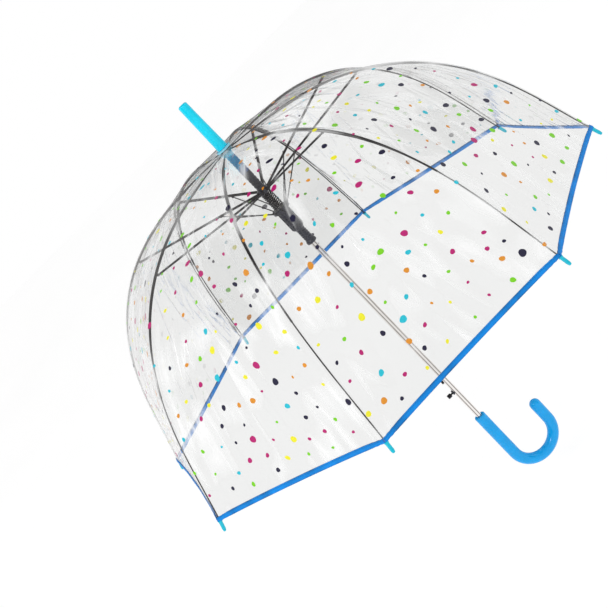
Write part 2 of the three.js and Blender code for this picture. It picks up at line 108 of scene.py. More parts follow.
def ribSlope(along):
    t = min(max(along / ribCurve["shapedLength"], 0.0), 1.0)
    share = t + t * (1 - t) * (ribCurve["bendTowardsCrown"] - ribCurve["bendInMiddle"] * (1 - 2 * t))
    return math.radians(ribCurve["crownSlope"] + (ribCurve["tipSlope"] - ribCurve["crownSlope"]) * share)


ribTable = [(crownRadius, crownHeight)]
for i in range(660):
    slope = ribSlope((i + 0.5) * 0.001)
    ribTable.append((ribTable[-1][0] + 0.001 * math.cos(slope), ribTable[-1][1] - 0.001 * math.sin(slope)))


def ribPoint(along, off=0.0):
    # out, height and slope of the rib's centreline, or of a line off it
    slope = ribSlope(along)
    i = min(max(int(along * 1000), 0), len(ribTable) - 2)
    rest = along - i * 0.001
    out, height = ribTable[i]
    return (out + rest * math.cos(slope) + off * math.sin(slope),
            height - rest * math.sin(slope) + off * math.cos(slope), slope)


# small helpers

def newObject(name, points, faces, materials, smooth=True, sharp=None):
    mesh = bpy.data.meshes.new(name)
    mesh.from_pydata([tuple(p) for p in points], [], faces)
    mesh.update()
    for m in materials if isinstance(materials, (list, tuple)) else [materials]:
        mesh.materials.append(m)
    if smooth:
        mesh.polygons.foreach_set("use_smooth", [True] * len(mesh.polygons))
    if sharp:
        mesh.set_sharp_from_angle(angle=math.radians(sharp))
    return putInScene(bpy.data.objects.new(name, mesh))


def putInScene(thing):
    bpy.context.scene.collection.objects.link(thing)
    return thing


def shadeSmooth(thing, sharp):
    # smooth everywhere but over edges sharper than this many degrees
    thing.data.polygons.foreach_set("use_smooth", [True] * len(thing.data.polygons))
    thing.data.set_sharp_from_angle(angle=math.radians(sharp))


def ringFaces(rings, sides, inward=False):
    # faces between rings of points that follow each other, closed at both ends
    faces = []
    for i in range(rings - 1):
        a, b = i * sides, (i + 1) * sides
        for j in range(sides):
            k = (j + 1) % sides
            faces.append((a + j, b + j, b + k, a + k) if inward else (a + j, a + k, b + k, b + j))
    first, last = tuple(range(sides)), tuple(range((rings - 1) * sides, rings * sides))
    return faces + ([first, last[::-1]] if inward else [first[::-1], last])


def spunFaces(turns, n, closed=True):
    # faces between copies of an outline that go round a full turn
    faces = []
    for i in range(turns):
        j = (i + 1) % turns
        for k in range(n if closed else n - 1):
            m = (k + 1) % n
            faces.append((i * n + k, j * n + k, j * n + m, i * n + m))
    return faces


def circle(count, radius=1.0):
    # points round a circle, as pairs
    angles = [2 * math.pi * i / count for i in range(count)]
    return [(radius * math.cos(a), radius * math.sin(a)) for a in angles]


def rounded(profile, radius=0.0006, steps=3, closed=True):
    # the same outline with small rounded corners
    result = []
    n = len(profile)
    for i, corner in enumerate(profile):
        if not closed and i in (0, n - 1):
            result.append(corner)
            continue
        c = Vector(corner)
        before, after = Vector(profile[i - 1]) - c, Vector(profile[(i + 1) % n]) - c
        r = min(radius, 0.45 * before.length, 0.45 * after.length)
        if r < 1e-6:
            result.append(corner)
            continue
        a, b = c + before.normalized() * r, c + after.normalized() * r
        for k in range(steps + 1):
            t = k / steps
            result.append(tuple((1 - t) ** 2 * a + 2 * t * (1 - t) * c + t ** 2 * b))
    return result


def turned(name, profile, material, sides=64, closed=True, sharp=35):
    # spins an outline of (radius, height) round the shaft axis
    points = []
    for x, y in circle(sides):
        points += [(r * x, r * y, z) for r, z in profile]
    thing = newObject(name, points, spunFaces(sides, len(profile), closed), material, sharp=sharp)
    weld(thing)
    return thing


def turnedWire(name, out, height, radius, material):
    # a wire ring round the shaft axis
    return turned(name, [(out + x, height + y) for x, y in circle(10, radius)], material, sides=96)


def weld(thing, distance=1e-6):
    work = bmesh.new()
    work.from_mesh(thing.data)
    bmesh.ops.remove_doubles(work, verts=work.verts, dist=distance)
    bmesh.ops.dissolve_degenerate(work, edges=work.edges, dist=1e-7)
    bmesh.ops.recalc_face_normals(work, faces=work.faces)
    work.to_mesh(thing.data)
    work.free()


def bakeModifiers(thing):
    graph = bpy.context.evaluated_depsgraph_get()
    mesh = bpy.data.meshes.new_from_object(thing.evaluated_get(graph))
    thing.modifiers.clear()
    thing.data = mesh


def cutAway(thing, cutters, sharp=35):
    for cutter in cutters:
        step = thing.modifiers.new("cut", "BOOLEAN")
        step.operation = "DIFFERENCE"
        step.solver = "EXACT"
        step.object = cutter
    bpy.context.view_layer.update()
    bakeModifiers(thing)
    for cutter in cutters:
        bpy.data.objects.remove(cutter)
    shadeSmooth(thing, sharp)


def boxCutter(low, high, turn=0.0):
    corners = [Vector((x, y, z)) for x in (low[0], high[0]) for y in (low[1], high[1])
               for z in (low[2], high[2])]
    faces = [(0, 1, 3, 2), (4, 6, 7, 5), (0, 4, 5, 1), (2, 3, 7, 6), (0, 2, 6, 4), (1, 5, 7, 3)]
    spin = Matrix.Rotation(turn, 3, "Z")
    return newObject("cutter", [spin @ c for c in corners], faces, [], smooth=False)


def tubeAlong(name, path, radius, material, sides=12, capRounds=2):
    # a round bar along points, with rounded ends
    points = []
    n = len(path)
    side = None
    rings = []
    for i, p in enumerate(path):
        p = Vector(p)
        ahead = Vector(path[min(i + 1, n - 1)]) - Vector(path[max(i - 1, 0)])
        ahead.normalize()
        if side is None:
            side = ahead.orthogonal().normalized()
        side = (side - ahead * side.dot(ahead)).normalized()
        up = ahead.cross(side)
        rings.append((p, ahead, side, up, radius))
    ends = []
    for which in (0, -1):
        p, ahead, side, up, r = rings[which]
        back = -1 if which == 0 else 1
        ends.append([(p + ahead * back * r * math.sin(t * math.pi / 2 / (capRounds + 1)), ahead, side, up,
                      r * math.cos(t * math.pi / 2 / (capRounds + 1))) for t in range(1, capRounds + 1)])
    rings = ends[0][::-1] + rings + ends[1]
    for p, ahead, side, up, r in rings:
        points += [p + side * r * x + up * r * y for x, y in circle(sides)]
    return newObject(name, points, ringFaces(len(rings), sides), material)


def joined(name, things):
    # several meshes made into one piece
    work = bmesh.new()
    materials = []
    for t in things:
        part = t.data.copy()
        part.transform(t.matrix_world)
        shift = []
        for m in t.data.materials:
            if m not in materials:
                materials.append(m)
            shift.append(materials.index(m))
        for face in part.polygons:
            face.material_index = shift[face.material_index] if shift else 0
        work.from_mesh(part)
        bpy.data.meshes.remove(part)
    mesh = bpy.data.meshes.new(name)
    work.to_mesh(mesh)
    work.free()
    for m in materials:
        mesh.materials.append(m)
    for t in things:
        bpy.data.objects.remove(t)
    return putInScene(bpy.data.objects.new(name, mesh))


def smoothStep(t):
    t = min(max(t, 0.0), 1.0)
    return t * t * (3 - 2 * t)


# materials

def colour(r, g, b):
    # screen values 0 to 255 to scene colour
    linear = [(c / 255) / 12.92 if c <= 10 else ((c / 255 + 0.055) / 1.055) ** 2.4 for c in (r, g, b)]
    return tuple(linear) + (1.0,)


class Wiring:
    # a short way to write shader nodes
    def __init__(self, tree):
        self.tree = tree

    def node(self, kind, inputs=None, **settings):
        made = self.tree.nodes.new(kind)
        for key, value in settings.items():
            setattr(made, key, value)
        for key, value in (inputs or {}).items():
            if isinstance(value, bpy.types.NodeSocket):
                self.tree.links.new(value, made.inputs[key])
            else:
                made.inputs[key].default_value = value
        return made

    def wire(self, source, target):
        self.tree.links.new(source, target)

    def ramp(self, factor, stops):
        made = self.node("ShaderNodeValToRGB", {"Fac": factor})
        ramp = made.color_ramp
        while len(ramp.elements) < len(stops):
            ramp.elements.new(0.5)
        for element, (at, shade) in zip(ramp.elements, stops):
            element.position = at
            element.color = shade if len(shade) == 4 else (*shade, 1.0)
        return made.outputs["Color"]

    def maths(self, operation, a, b=0.0, clamp=False, c=None):
        made = self.node("ShaderNodeMath", operation=operation, use_clamp=clamp)
        for i, value in enumerate((a, b) if c is None else (a, b, c)):
            if isinstance(value, bpy.types.NodeSocket):
                self.wire(value, made.inputs[i])
            else:
                made.inputs[i].default_value = value
        return made.outputs[0]

    def grain(self, scale, detail=4.0, rough=0.5, stretch=(1, 1, 1)):
        where = self.node("ShaderNodeTexCoord").outputs["Object"]
        spread = self.node("ShaderNodeMapping", {"Vector": where, "Scale": stretch})
        return self.node("ShaderNodeTexNoise", {"Vector": spread.outputs[0], "Scale": scale, "Detail": detail,
                                                "Roughness": rough}).outputs["Fac"]

    def place(self, space="Object"):
        # the three numbers that say where a point is
        return self.node("ShaderNodeSeparateXYZ", {"Vector": self.node("ShaderNodeTexCoord").outputs[space]})

    def bump(self, height, strength, distance):
        made = self.node("ShaderNodeBump", {"Height": height, "Strength": strength, "Distance": distance})
        return made.outputs["Normal"]


class Look(Wiring):
    # one material and its main shader
    def __init__(self, name):
        self.material = bpy.data.materials.new(name)
        self.material.use_nodes = True
        super().__init__(self.material.node_tree)
        self.shader = self.tree.nodes["Principled BSDF"]
        self.output = self.tree.nodes["Material Output"]

    def feed(self, **inputs):
        # gives the main shader sockets or plain values, its input's name written as one word
        for word, value in inputs.items():
            made = self.shader.inputs[inputNames[word]]
            if isinstance(value, bpy.types.NodeSocket):
                self.wire(value, made)
            else:
                made.default_value = value


inputNames = {
    "colour": "Base Color", "roughness": "Roughness", "metallic": "Metallic", "normal": "Normal",
    "ior": "IOR", "specular": "Specular IOR Level", "coat": "Coat Weight", "coatRoughness": "Coat Roughness",
    "glow": "Emission Strength", "glowColour": "Emission Color",
}


def tone(base, factor):
    return tuple(min(1.0, c * factor) for c in base[:3]) + (1.0,)


def plasticLook(name, base, roughness, mould=900, coat=0.15, depth=0.00004, vary=0.06):
    # moulded plastic: faint blotches of colour, scuffs and a fine mould grain
    look = Look(name)
    blotch = look.grain(55, 3)
    scuff = look.grain(260, 5, 0.6)
    look.feed(colour=look.ramp(blotch, [(0.3, tone(base, 1 - vary)), (0.7, tone(base, 1 + vary))]),
              roughness=look.maths("MULTIPLY_ADD", scuff, 0.16, c=roughness - 0.08),
              normal=look.bump(look.grain(mould, 2), 0.25, depth),
              coat=coat, coatRoughness=0.12, ior=1.45, specular=0.35)
    return look.material


def steelLook(name, base, roughness, metallic, scale):
    # painted or bare steel with a fine grain
    look = Look(name)
    lines = look.grain(scale, 4, 0.6)
    look.feed(colour=look.ramp(lines, [(0.25, tone(base, 0.88)), (0.75, tone(base, 1.05))]),
              roughness=look.maths("MULTIPLY_ADD", look.grain(120, 4), 0.14, c=roughness - 0.05),
              normal=look.bump(lines, 0.2, 0.00003),
              metallic=metallic, specular=0.5 if metallic > 0.5 else 0.25)
    return look.material


collarLength = 0.045     # the blue upper part of the sleeve under the crown


def collarMaterial():
    # blue collar that gets deeper away from the canopy
    look = Look("sleevePlastic")
    split = look.place()
    below = look.maths("SUBTRACT", crownHeight, split.outputs[2])
    down = look.maths("MULTIPLY", below, 1 / collarLength, True)
    mottled = look.maths("MULTIPLY_ADD", look.grain(420, 3), 0.12, c=down)
    look.feed(colour=look.ramp(mottled, [(0.10, shades["collarTop"]), (0.42, shades["sleeve"]),
                                         (1.0, tone(shades["sleeve"], 0.7))]),
              roughness=0.28, normal=look.bump(look.grain(1200, 2), 0.25, 0.00004))
    return look.material


shades = {
    "collarTop": colour(30, 160, 215),
    "handle": colour(0, 166, 240),
    "ferrule": colour(0, 220, 250),
    "cap": colour(10, 192, 216),
    "sleeve": colour(10, 84, 160),
    "tape": colour(0, 136, 226),
    "washer": colour(150, 214, 234),
    "blackSteel": colour(8, 7, 9),
    "wire": colour(40, 38, 42),
    "blackPlastic": colour(26, 30, 46),
    "chrome": colour(238, 234, 231),
    # painted dark reflection, drawn along the chrome tube's grooves
    "chromePaintedDarkReflection": colour(96, 84, 78),
    "film": (0.865, 0.87, 0.865, 1.0),       # how much light passes
    "seam": (0.84, 0.845, 0.84, 1.0),
    "filmHaze": colour(206, 199, 198),
}

handleLook = plasticLook("azurePlastic", shades["handle"], 0.18, mould=700)
ferruleLook = plasticLook("cyanPlastic", shades["ferrule"], 0.2, mould=700)
capLook = plasticLook("tipPlastic", shades["cap"], 0.25, mould=1500)
sleeveLook = collarMaterial()
washerLook = plasticLook("washerPlastic", shades["washer"], 0.2, mould=1200)
blackPlasticLook = plasticLook("mouldedBlack", shades["blackPlastic"], 0.3, mould=1600, depth=0.00006,
                               vary=0.2, coat=0.4)
blackSteelLook = steelLook("blackSteel", shades["blackSteel"], 0.45, metallic=0.0, scale=900)
wireLook = steelLook("darkWire", shades["wire"], 0.3, metallic=0.85, scale=1200)


def filmMaterial(name, tint, hazeShare, edgeHaze, glossShare):
    # clear sheet: lets light through, greyer where seen edge on, with soft creases drawn with painted white
    # highlights and a glossy skin
    look = Look(name)
    uv = look.node("ShaderNodeTexCoord").outputs["UV"]
    stretchedUv = look.node("ShaderNodeMapping", {"Vector": uv, "Scale": (26.0, 5.0, 1.0),
                                                  "Rotation": (0, 0, 0.12)})
    creases = look.node("ShaderNodeTexNoise", {"Vector": stretchedUv.outputs[0], "Scale": 1.0, "Detail": 2.0,
                                               "Roughness": 0.45, "Distortion": 0.6}).outputs["Fac"]
    ridges = look.maths("ABSOLUTE", look.maths("SUBTRACT", creases, 0.5))
    ridges = look.maths("POWER", look.maths("SUBTRACT", 1.0, look.maths("MULTIPLY", ridges, 2.4, True)), 7.0)
    waves = look.node("ShaderNodeTexNoise", {"Vector": uv, "Scale": 9.0, "Detail": 1.5}).outputs["Fac"]
    height = look.maths("ADD", look.maths("MULTIPLY", ridges, 0.3), waves)
    bent = look.bump(height, 0.6, 0.005)
    clear = look.node("ShaderNodeBsdfTransparent", {"Color": tint})
    # painted highlight: the creases are drawn white where the film is slack, standing in for glare
    slack = look.maths("MULTIPLY", look.maths("SUBTRACT", waves, 0.44), 6.0, True)
    glare = look.maths("MULTIPLY", look.maths("MULTIPLY", ridges, slack), 0.75)
    look.feed(colour=look.ramp(glare, [(0.02, shades["filmHaze"]), (0.12, (1.0, 1.0, 1.0))]),
              roughness=0.4, specular=0.0, normal=bent)
    facing = look.node("ShaderNodeLayerWeight", {"Blend": 0.35}).outputs["Facing"]
    onEdge = look.maths("MULTIPLY", look.maths("POWER", facing, 2.0), edgeHaze)
    patchy = look.maths("MULTIPLY", waves, hazeShare)
    hazeAmount = look.maths("ADD", look.maths("ADD", patchy, onEdge), glare, True)
    hazy = look.node("ShaderNodeMixShader", {0: hazeAmount, 1: clear.outputs[0], 2: look.shader.outputs[0]})
    gloss = look.node("ShaderNodeBsdfGlossy", {"Color": (1, 1, 1, 1), "Roughness": 0.13, "Normal": bent})
    edge = look.node("ShaderNodeFresnel", {"IOR": 1.4, "Normal": bent}).outputs[0]
    skin = look.node("ShaderNodeMixShader", {0: look.maths("MULTIPLY", edge, glossShare, True),
                                             1: hazy.outputs[0], 2: gloss.outputs[0]})
    look.wire(skin.outputs[0], look.output.inputs["Surface"])
    return look.material


filmLook = filmMaterial("clearFilm", shades["film"], 0.04, 0.30, 0.8)
seamLook = filmMaterial("weldedSeam", shades["seam"], 0.04, 0.30, 0.9)

inkShades = {      # colour, and share of all the dots
    "navyInk": (colour(12, 6, 52), 0.17),
    "magentaInk": (colour(190, 4, 112), 0.18),
    "cyanInk": (colour(22, 196, 216), 0.14),
    "limeInk": (colour(126, 216, 10), 0.20),
    "yellowInk": (colour(246, 240, 40), 0.14),
    "orangeInk": (colour(230, 148, 34), 0.15),
}


def inkMaterial(name, base):
    look = Look(name)
    patch = look.grain(420, 4, 0.6)
    look.feed(colour=look.ramp(patch, [(0.25, tone(base, 0.86)), (0.7, tone(base, 1.06))]),
              roughness=0.32, normal=look.bump(look.grain(900, 2), 0.2, 0.00003))
    return look.material


inks = [(inkMaterial(name, base), share) for name, (base, share) in inkShades.items()]


weaveSizes = {
    "warp": 0.0011,
    "weft": 0.0009,
    "stitchStep": 0.0034,
    "stitchHalf": 0.34,           # share of the step
    "stitchIn": 0.0022,           # from the tape's inner edge
    "threadHalf": 0.00035,
    "middle": 0.0040,             # painted shade: the tape is drawn darker away from its middle line, with a painted highlight along that line
}


def tapeMaterial():
    # woven tape with a stitched line near its inner edge, painted darker towards its edges and with a painted
    # highlight along its middle
    s = weaveSizes
    look = Look("bindingTape")
    split = look.place("UV")
    along, across = split.outputs[0], split.outputs[1]
    warp = look.maths("SINE", look.maths("MULTIPLY", along, 2 * math.pi / s["warp"]))
    weft = look.maths("SINE", look.maths("MULTIPLY", across, 2 * math.pi / s["weft"]))
    weave = look.maths("MULTIPLY", warp, weft)
    step = look.maths("FRACT", look.maths("MULTIPLY", along, 1 / s["stitchStep"]))
    dash = look.maths("LESS_THAN", look.maths("ABSOLUTE", look.maths("SUBTRACT", step, 0.5)), s["stitchHalf"])
    offLine = look.maths("ABSOLUTE", look.maths("SUBTRACT", across, s["stitchIn"]))
    line = look.maths("LESS_THAN", offLine, s["threadHalf"])
    stitch = look.maths("MULTIPLY", dash, line)
    wear = look.grain(40, 4)
    # painted shade and highlight: darker towards the tape's edges, brightest along its middle line
    fromMiddle = look.maths("ABSOLUTE", look.maths("SUBTRACT", across, s["middle"]))
    paintedEdgeShade = look.maths("POWER", look.maths("MULTIPLY", fromMiddle, 1 / s["middle"]), 3.0)
    shade = look.maths("SUBTRACT", wear, look.maths("MULTIPLY", paintedEdgeShade, 0.3))
    base = look.ramp(shade, [(0.15, tone(shades["tape"], 0.42)), (0.40, tone(shades["tape"], 0.9)),
                             (0.7, tone(shades["tape"], 1.12))])
    mix = look.node("ShaderNodeMix", data_type="RGBA")
    look.wire(stitch, mix.inputs["Factor"])
    look.wire(base, mix.inputs["A"])
    mix.inputs["B"].default_value = tone(shades["tape"], 0.55)
    height = look.maths("ADD", look.maths("MULTIPLY", weave, 0.25), stitch)
    look.feed(colour=mix.outputs["Result"], normal=look.bump(height, 0.5, 0.00025), roughness=0.55,
              specular=0.25)
    return look.material


tapeLook = tapeMaterial()
print("materials made")

# handle

handleSizes = {
    "gripRadius": 0.010,
    "gripHalf": 0.048,
    "bendRadius": 0.0415,
    "returnLength": 0.034,
    "socketDepth": 0.034,
    "bore": 0.0053,
    "edgeRound": 0.0016,
    "mouthChamfer": 0.0004,
}


def ringsPiece(name, rings, material, sides=48, sharp=30):
    # rings of (centre, direction, radius) in the plane y = 0, closed at both ends
    points = []
    for centre, ahead, radius in rings:
        across = Vector((ahead.z, 0, -ahead.x))
        points += [centre + across * radius * x + Vector((0, radius * y, 0)) for x, y in circle(sides)]
    thing = newObject(name, points, ringFaces(len(rings), sides, inward=True), material, sharp=sharp)
    weld(thing)
    return thing


def makeHandle():
    s = handleSizes
    top, radius, bend, edge = s["gripHalf"], s["gripRadius"], s["bendRadius"], s["edgeRound"]
    down, up = Vector((0, 0, -1)), Vector((0, 0, 1))
    # the socket for the shaft, its mouth, then the grip's rounded edge
    rings = [(Vector((0, 0, top - s["socketDepth"])), down, s["bore"]),
             (Vector((0, 0, top - s["mouthChamfer"])), down, s["bore"]),
             (Vector((0, 0, top)), down, s["bore"] + s["mouthChamfer"])]
    for i in range(6):
        a = i / 5 * math.pi / 2
        rings.append((Vector((0, 0, top - edge * (1 - math.cos(a)))), down,
                      radius - edge * (1 - math.sin(a))))
    for i in range(1, 13):
        rings.append((Vector((0, 0, top - i / 12 * 2 * top)), down, radius))
    for i in range(1, 41):
        turn = i / 40 * math.pi
        centre = Vector((bend * (1 - math.cos(turn)), 0, -top - bend * math.sin(turn)))
        rings.append((centre, Vector((math.sin(turn), 0, -math.cos(turn))), radius))
    # the crook's return and its rounded end
    for i in range(1, 4):
        rings.append((Vector((2 * bend, 0, -top + s["returnLength"] * i / 3)), up, radius))
    for i in range(1, 9):
        a = i / 9 * math.pi / 2
        rings.append((Vector((2 * bend, 0, -top + s["returnLength"] + radius * math.sin(a))), up,
                      radius * math.cos(a)))
    handle = ringsPiece("crook_handle", rings, handleLook)
    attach(handle, "shaft")
    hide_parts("handle")


makeHandle()
print("handle made")

# shaft, crown and ferrule

# heights of the crown's parts are measured from the ribs' crown pivots
crownSizes = {
    "shaftRadius": 0.005,
    "shaftWall": 0.0007,
    "shaftBottom": 0.0133,
    "shaftTop": crownHeight + 0.0325,
    "flutes": 6,               # shallow grooves drawn down the tube
    "fluteDepth": 0.0003,
    "fluteBearing": -65,       # degrees, of the first groove
    "catchSlot": (0.1355, 0.1421),      # lower and upper end
    "catchSlotHalf": 0.0015,
    "buttonHole": (0.1101, 0.1139),
    "buttonHoleHalf": 0.0019,
    "notchRadius": 0.0118,
    "notchFloor": 0.0072,
    "notchTop": crownHeight + 0.0021,
    "notchUnder": crownHeight - 0.003,
    "ribSlotHalf": 0.002,
    "ribSlotReach": 0.014,
    "wireRadius": 0.00055,
    "sleeveRadius": 0.0072,
    "sleeveEnd": jointSpot["hub_pivot"].z + 0.0043,
    "sleeveSplit": crownHeight - collarLength,      # where the blue part of the sleeve ends
    "bore": 0.0053,
    "washerRadius": 0.013,
    "washerBottom": crownHeight + 0.0035,
    "washerTop": crownHeight + 0.0064,
    "ferruleBase": crownHeight + 0.0068,
    "ferruleTop": crownHeight + 0.0968,
    "ferruleBaseRadius": 0.00925,
    "ferruleTopRadius": 0.008,
    "ferruleRound": 0.0022,
    "ferruleSocket": 0.026,
    "ferruleDimple": 0.0042,
    # rings round the sleeve: how many, first one above the end, step, depth, and where the groove begins,
    # turns and ends above each
    "collarRings": (6, 0.003, 0.0062, 0.0005, (0.0, 0.0006, 0.0018, 0.0024)),
    "sleeveRings": (4, 0.004, 0.006, 0.0006, (0.0, 0.0008, 0.002, 0.0028)),
}


def grooved(radius, start, rings):
    # the outline of shallow grooves round a part, from one height upwards
    count, first, step, depth, turns = rings
    outline = []
    for i in range(count):
        z = start + first + i * step
        a, b, c, d = turns
        outline += [(radius, z + a), (radius - depth, z + b), (radius - depth, z + c), (radius, z + d)]
    return outline


def chromeMaterial():
    # bright drawn tube, with painted dark reflections down its grooves
    s = crownSizes
    look = Look("chromeTube")
    split = look.place()
    bearing = look.maths("ARCTAN2", split.outputs[1], split.outputs[0])
    fromFirst = look.maths("SUBTRACT", bearing, math.radians(s["fluteBearing"]))
    # painted reflection: the colour darkens along each groove, standing in for dark surroundings reflected in
    # the chrome
    groove = look.maths("COSINE", look.maths("MULTIPLY", fromFirst, s["flutes"]))
    lines = look.grain(1800, 3, 0.5, stretch=(1, 1, 0.03))
    depth = look.maths("ADD", look.maths("MULTIPLY", groove, 0.5), look.maths("MULTIPLY", lines, 0.4))
    look.feed(colour=look.ramp(depth, [(0.30, shades["chrome"]), (0.52, tone(shades["chrome"], 0.62)),
                                       (0.66, shades["chromePaintedDarkReflection"])]),
              roughness=look.ramp(lines, [(0.3, (0.10, 0.10, 0.10)), (0.7, (0.17, 0.17, 0.17))]),
              metallic=1.0, normal=look.bump(lines, 0.2, 0.000004))
    return look.material


def makeShaft():
    s = crownSizes
    sides, steps = 96, 24
    points, faces = [], []
    heights = [s["shaftBottom"] + (s["shaftTop"] - s["shaftBottom"]) * i / steps for i in range(steps + 1)]
    first = math.radians(s["fluteBearing"])
    for z in heights:
        for r0 in (s["shaftRadius"], s["shaftRadius"] - s["shaftWall"]):
            for j in range(sides):
                a = first + 2 * math.pi * j / sides
                groove = max(0.0, math.cos(s["flutes"] * (a - first))) ** 2
                dip = s["fluteDepth"] * groove if r0 == s["shaftRadius"] else 0
                points.append(((r0 - dip) * math.cos(a), (r0 - dip) * math.sin(a), z))
    ring = 2 * sides      # outer and inner points at one height
    for i in range(steps):
        for j in range(sides):
            k = (j + 1) % sides
            a, b = i * ring, (i + 1) * ring
            faces.append((a + j, a + k, b + k, b + j))
            faces.append((a + sides + j, b + sides + j, b + sides + k, a + sides + k))
    for j in range(sides):
        k = (j + 1) % sides
        top = steps * ring
        faces.append((j, sides + j, sides + k, k))
        faces.append((top + j, top + k, top + sides + k, top + sides + j))
    tube = newObject("shaft_tube_chrome", points, faces, chromeMaterial(), sharp=50)
    outside = -s["shaftRadius"] - 0.001
    cutAway(tube, [boxCutter((outside, -half, low), (0, half, high)) for (low, high), half in
                   ((s["catchSlot"], s["catchSlotHalf"]), (s["buttonHole"], s["buttonHoleHalf"]))], sharp=50)
    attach(tube, "shaft")
    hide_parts("shaft_tube")


def makeCrown():
    s = crownSizes
    notch = turned("crown_notch", rounded([
        (s["bore"], s["notchUnder"]), (s["notchRadius"], s["notchUnder"]), (s["notchRadius"], s["notchTop"]),
        (s["bore"], s["notchTop"])], 0.0008), blackPlasticLook, sides=96)
    slotLow = (s["notchFloor"], -s["ribSlotHalf"], s["notchUnder"] - 0.001)
    slotHigh = (s["ribSlotReach"], s["ribSlotHalf"], s["notchTop"] + 0.001)
    cutAway(notch, [boxCutter(slotLow, slotHigh, ribTurn[k]) for k in ribNumbers])
    wire = turnedWire("notch_wire", crownRadius, crownHeight, s["wireRadius"], wireLook)
    # the sleeve below the notch: a blue upper collar, then the black lower part
    sleeve = []
    for name, start, end, rings, look in (
            ("crown_collar", s["sleeveSplit"], s["notchUnder"] + 0.0003, s["collarRings"], sleeveLook),
            ("crown_sleeve", s["sleeveEnd"], s["sleeveSplit"], s["sleeveRings"], blackPlasticLook)):
        outline = [(s["bore"], start), (s["sleeveRadius"], start)] + grooved(s["sleeveRadius"], start, rings)
        outline += [(s["sleeveRadius"], end), (s["bore"], end)]
        sleeve.append(turned(name, rounded(outline, 0.0003, 2), look, sides=64))
    crown = joined("crown_fitting", [notch, wire] + sleeve)
    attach(crown, "shaft")
    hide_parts("top_notch")

    rim, low, high = s["washerRadius"], s["washerBottom"], s["washerTop"]
    washer = turned("crown_washer_cap", rounded([
        (s["bore"], low), (rim, low), (rim, high), (rim - 0.003, high + 0.0001), (s["bore"], high + 0.0001)],
        0.0004), washerLook, sides=96)
    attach(washer, "shaft")
    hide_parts("crown_washer")

    top, base = s["ferruleTop"], s["ferruleBase"]
    wide, slim, soft = s["ferruleBaseRadius"], s["ferruleTopRadius"], s["ferruleRound"]
    seat, edge = base + s["ferruleSocket"], base + 0.0004
    profile = [(0.0, seat), (s["bore"], seat), (s["bore"], base), (wide - 0.0004, base), (wide, edge)]
    for i in range(1, 5):
        profile.append((wide + (slim - wide) * i / 4, edge + (top - soft - edge) * i / 4))
    for i in range(1, 8):
        a = i / 7 * math.pi / 2
        profile.append((slim - soft * (1 - math.cos(a)), top - soft * (1 - math.sin(a))))
    profile += [(s["ferruleDimple"], top), (s["ferruleDimple"] - 0.0002, top - 0.0004), (0.0, top - 0.0006)]
    ferrule = turned("ferrule_cap", profile, ferruleLook, sides=96, closed=False, sharp=40)
    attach(ferrule, "shaft")
    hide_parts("ferrule")


makeShaft()
makeCrown()
print("shaft, crown and ferrule made")

# hub, spring and runner

runnerSizes = {
    "bore": 0.0053,
    "hubRadius": 0.0118,
    "hubHalf": 0.004,
    "hubFloor": 0.0072,
    "hubSlotHalf": 0.0024,
    "hubSlotReach": 0.014,
    "hubWire": 0.00055,
    "pivotBelowHub": 0.040,
    "linkPivotRadius": 0.0132,
    "flangeHalf": 0.003,
    "flangeRim": 0.0155,
    "upperRadius": 0.0105,
    "upperLength": 0.038,
    "taper": 0.003,
    "lowerRadius": 0.0075,
    "lowerLength": 0.026,
    "footRadius": 0.0088,
    "footLength": 0.004,
    "linkSide": 0.0039,
    "linkSlotHalf": 0.0011,
    "linkSlotBack": 0.0023,        # from the pivot in to the slot's floor
    "linkSlotReach": 0.018,
    "runnerWire": 0.0006,
    "slitHalf": 0.0015,
    "slitHeight": 0.016,
    "grooves": 5,
    "grooveDepth": 0.0008,
    "upperRings": (4, 0.004, 0.009, 0.0009, (0.0, 0.0008, 0.0042, 0.005)),
    "fins": 8,
    "finHalf": 0.0007,
    "springTurns": 9,
    "springRadius": 0.0086,
    "springWire": 0.00095,
}
hubHeight = jointSpot["hub_pivot"].z
runnerHeight = hubHeight - runnerSizes["pivotBelowHub"]


def makeHub():
    s = runnerSizes
    low, high = hubHeight - s["hubHalf"], hubHeight + s["hubHalf"]
    hub = turned("rib_hub", rounded([(s["bore"], low), (s["hubRadius"], low), (s["hubRadius"], high),
                                     (s["bore"], high)], 0.0009), blackPlasticLook, sides=96)
    slotLow = (s["hubFloor"], -s["hubSlotHalf"], low - 0.001)
    slotHigh = (s["hubSlotReach"], s["hubSlotHalf"], high + 0.001)
    cutAway(hub, [boxCutter(slotLow, slotHigh, ribTurn[k]) for k in ribNumbers])
    wire = turnedWire("hub_wire", crownRadius, hubHeight, s["hubWire"], wireLook)
    hub = joined("strut_hub", [hub, wire])
    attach(hub, "hub")
    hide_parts("hub")


def makeSpring():
    s = runnerSizes
    top = hubHeight - s["hubHalf"] - s["springWire"] - 0.0003
    bottom = runnerHeight + s["flangeHalf"] + s["springWire"] + 0.0003
    steps = s["springTurns"] * 28
    path = []
    for i in range(steps + 1):
        t = i / steps
        a = t * s["springTurns"] * 2 * math.pi
        z = bottom + (top - bottom) * (smoothStep(t) * 0.12 + t * 0.88)
        path.append((s["springRadius"] * math.cos(a), s["springRadius"] * math.sin(a), z))
    spring = tubeAlong("push_spring", path, s["springWire"], wireLook, sides=8)
    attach(spring, "hub")
    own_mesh(spring)
    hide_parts("runner_spring")


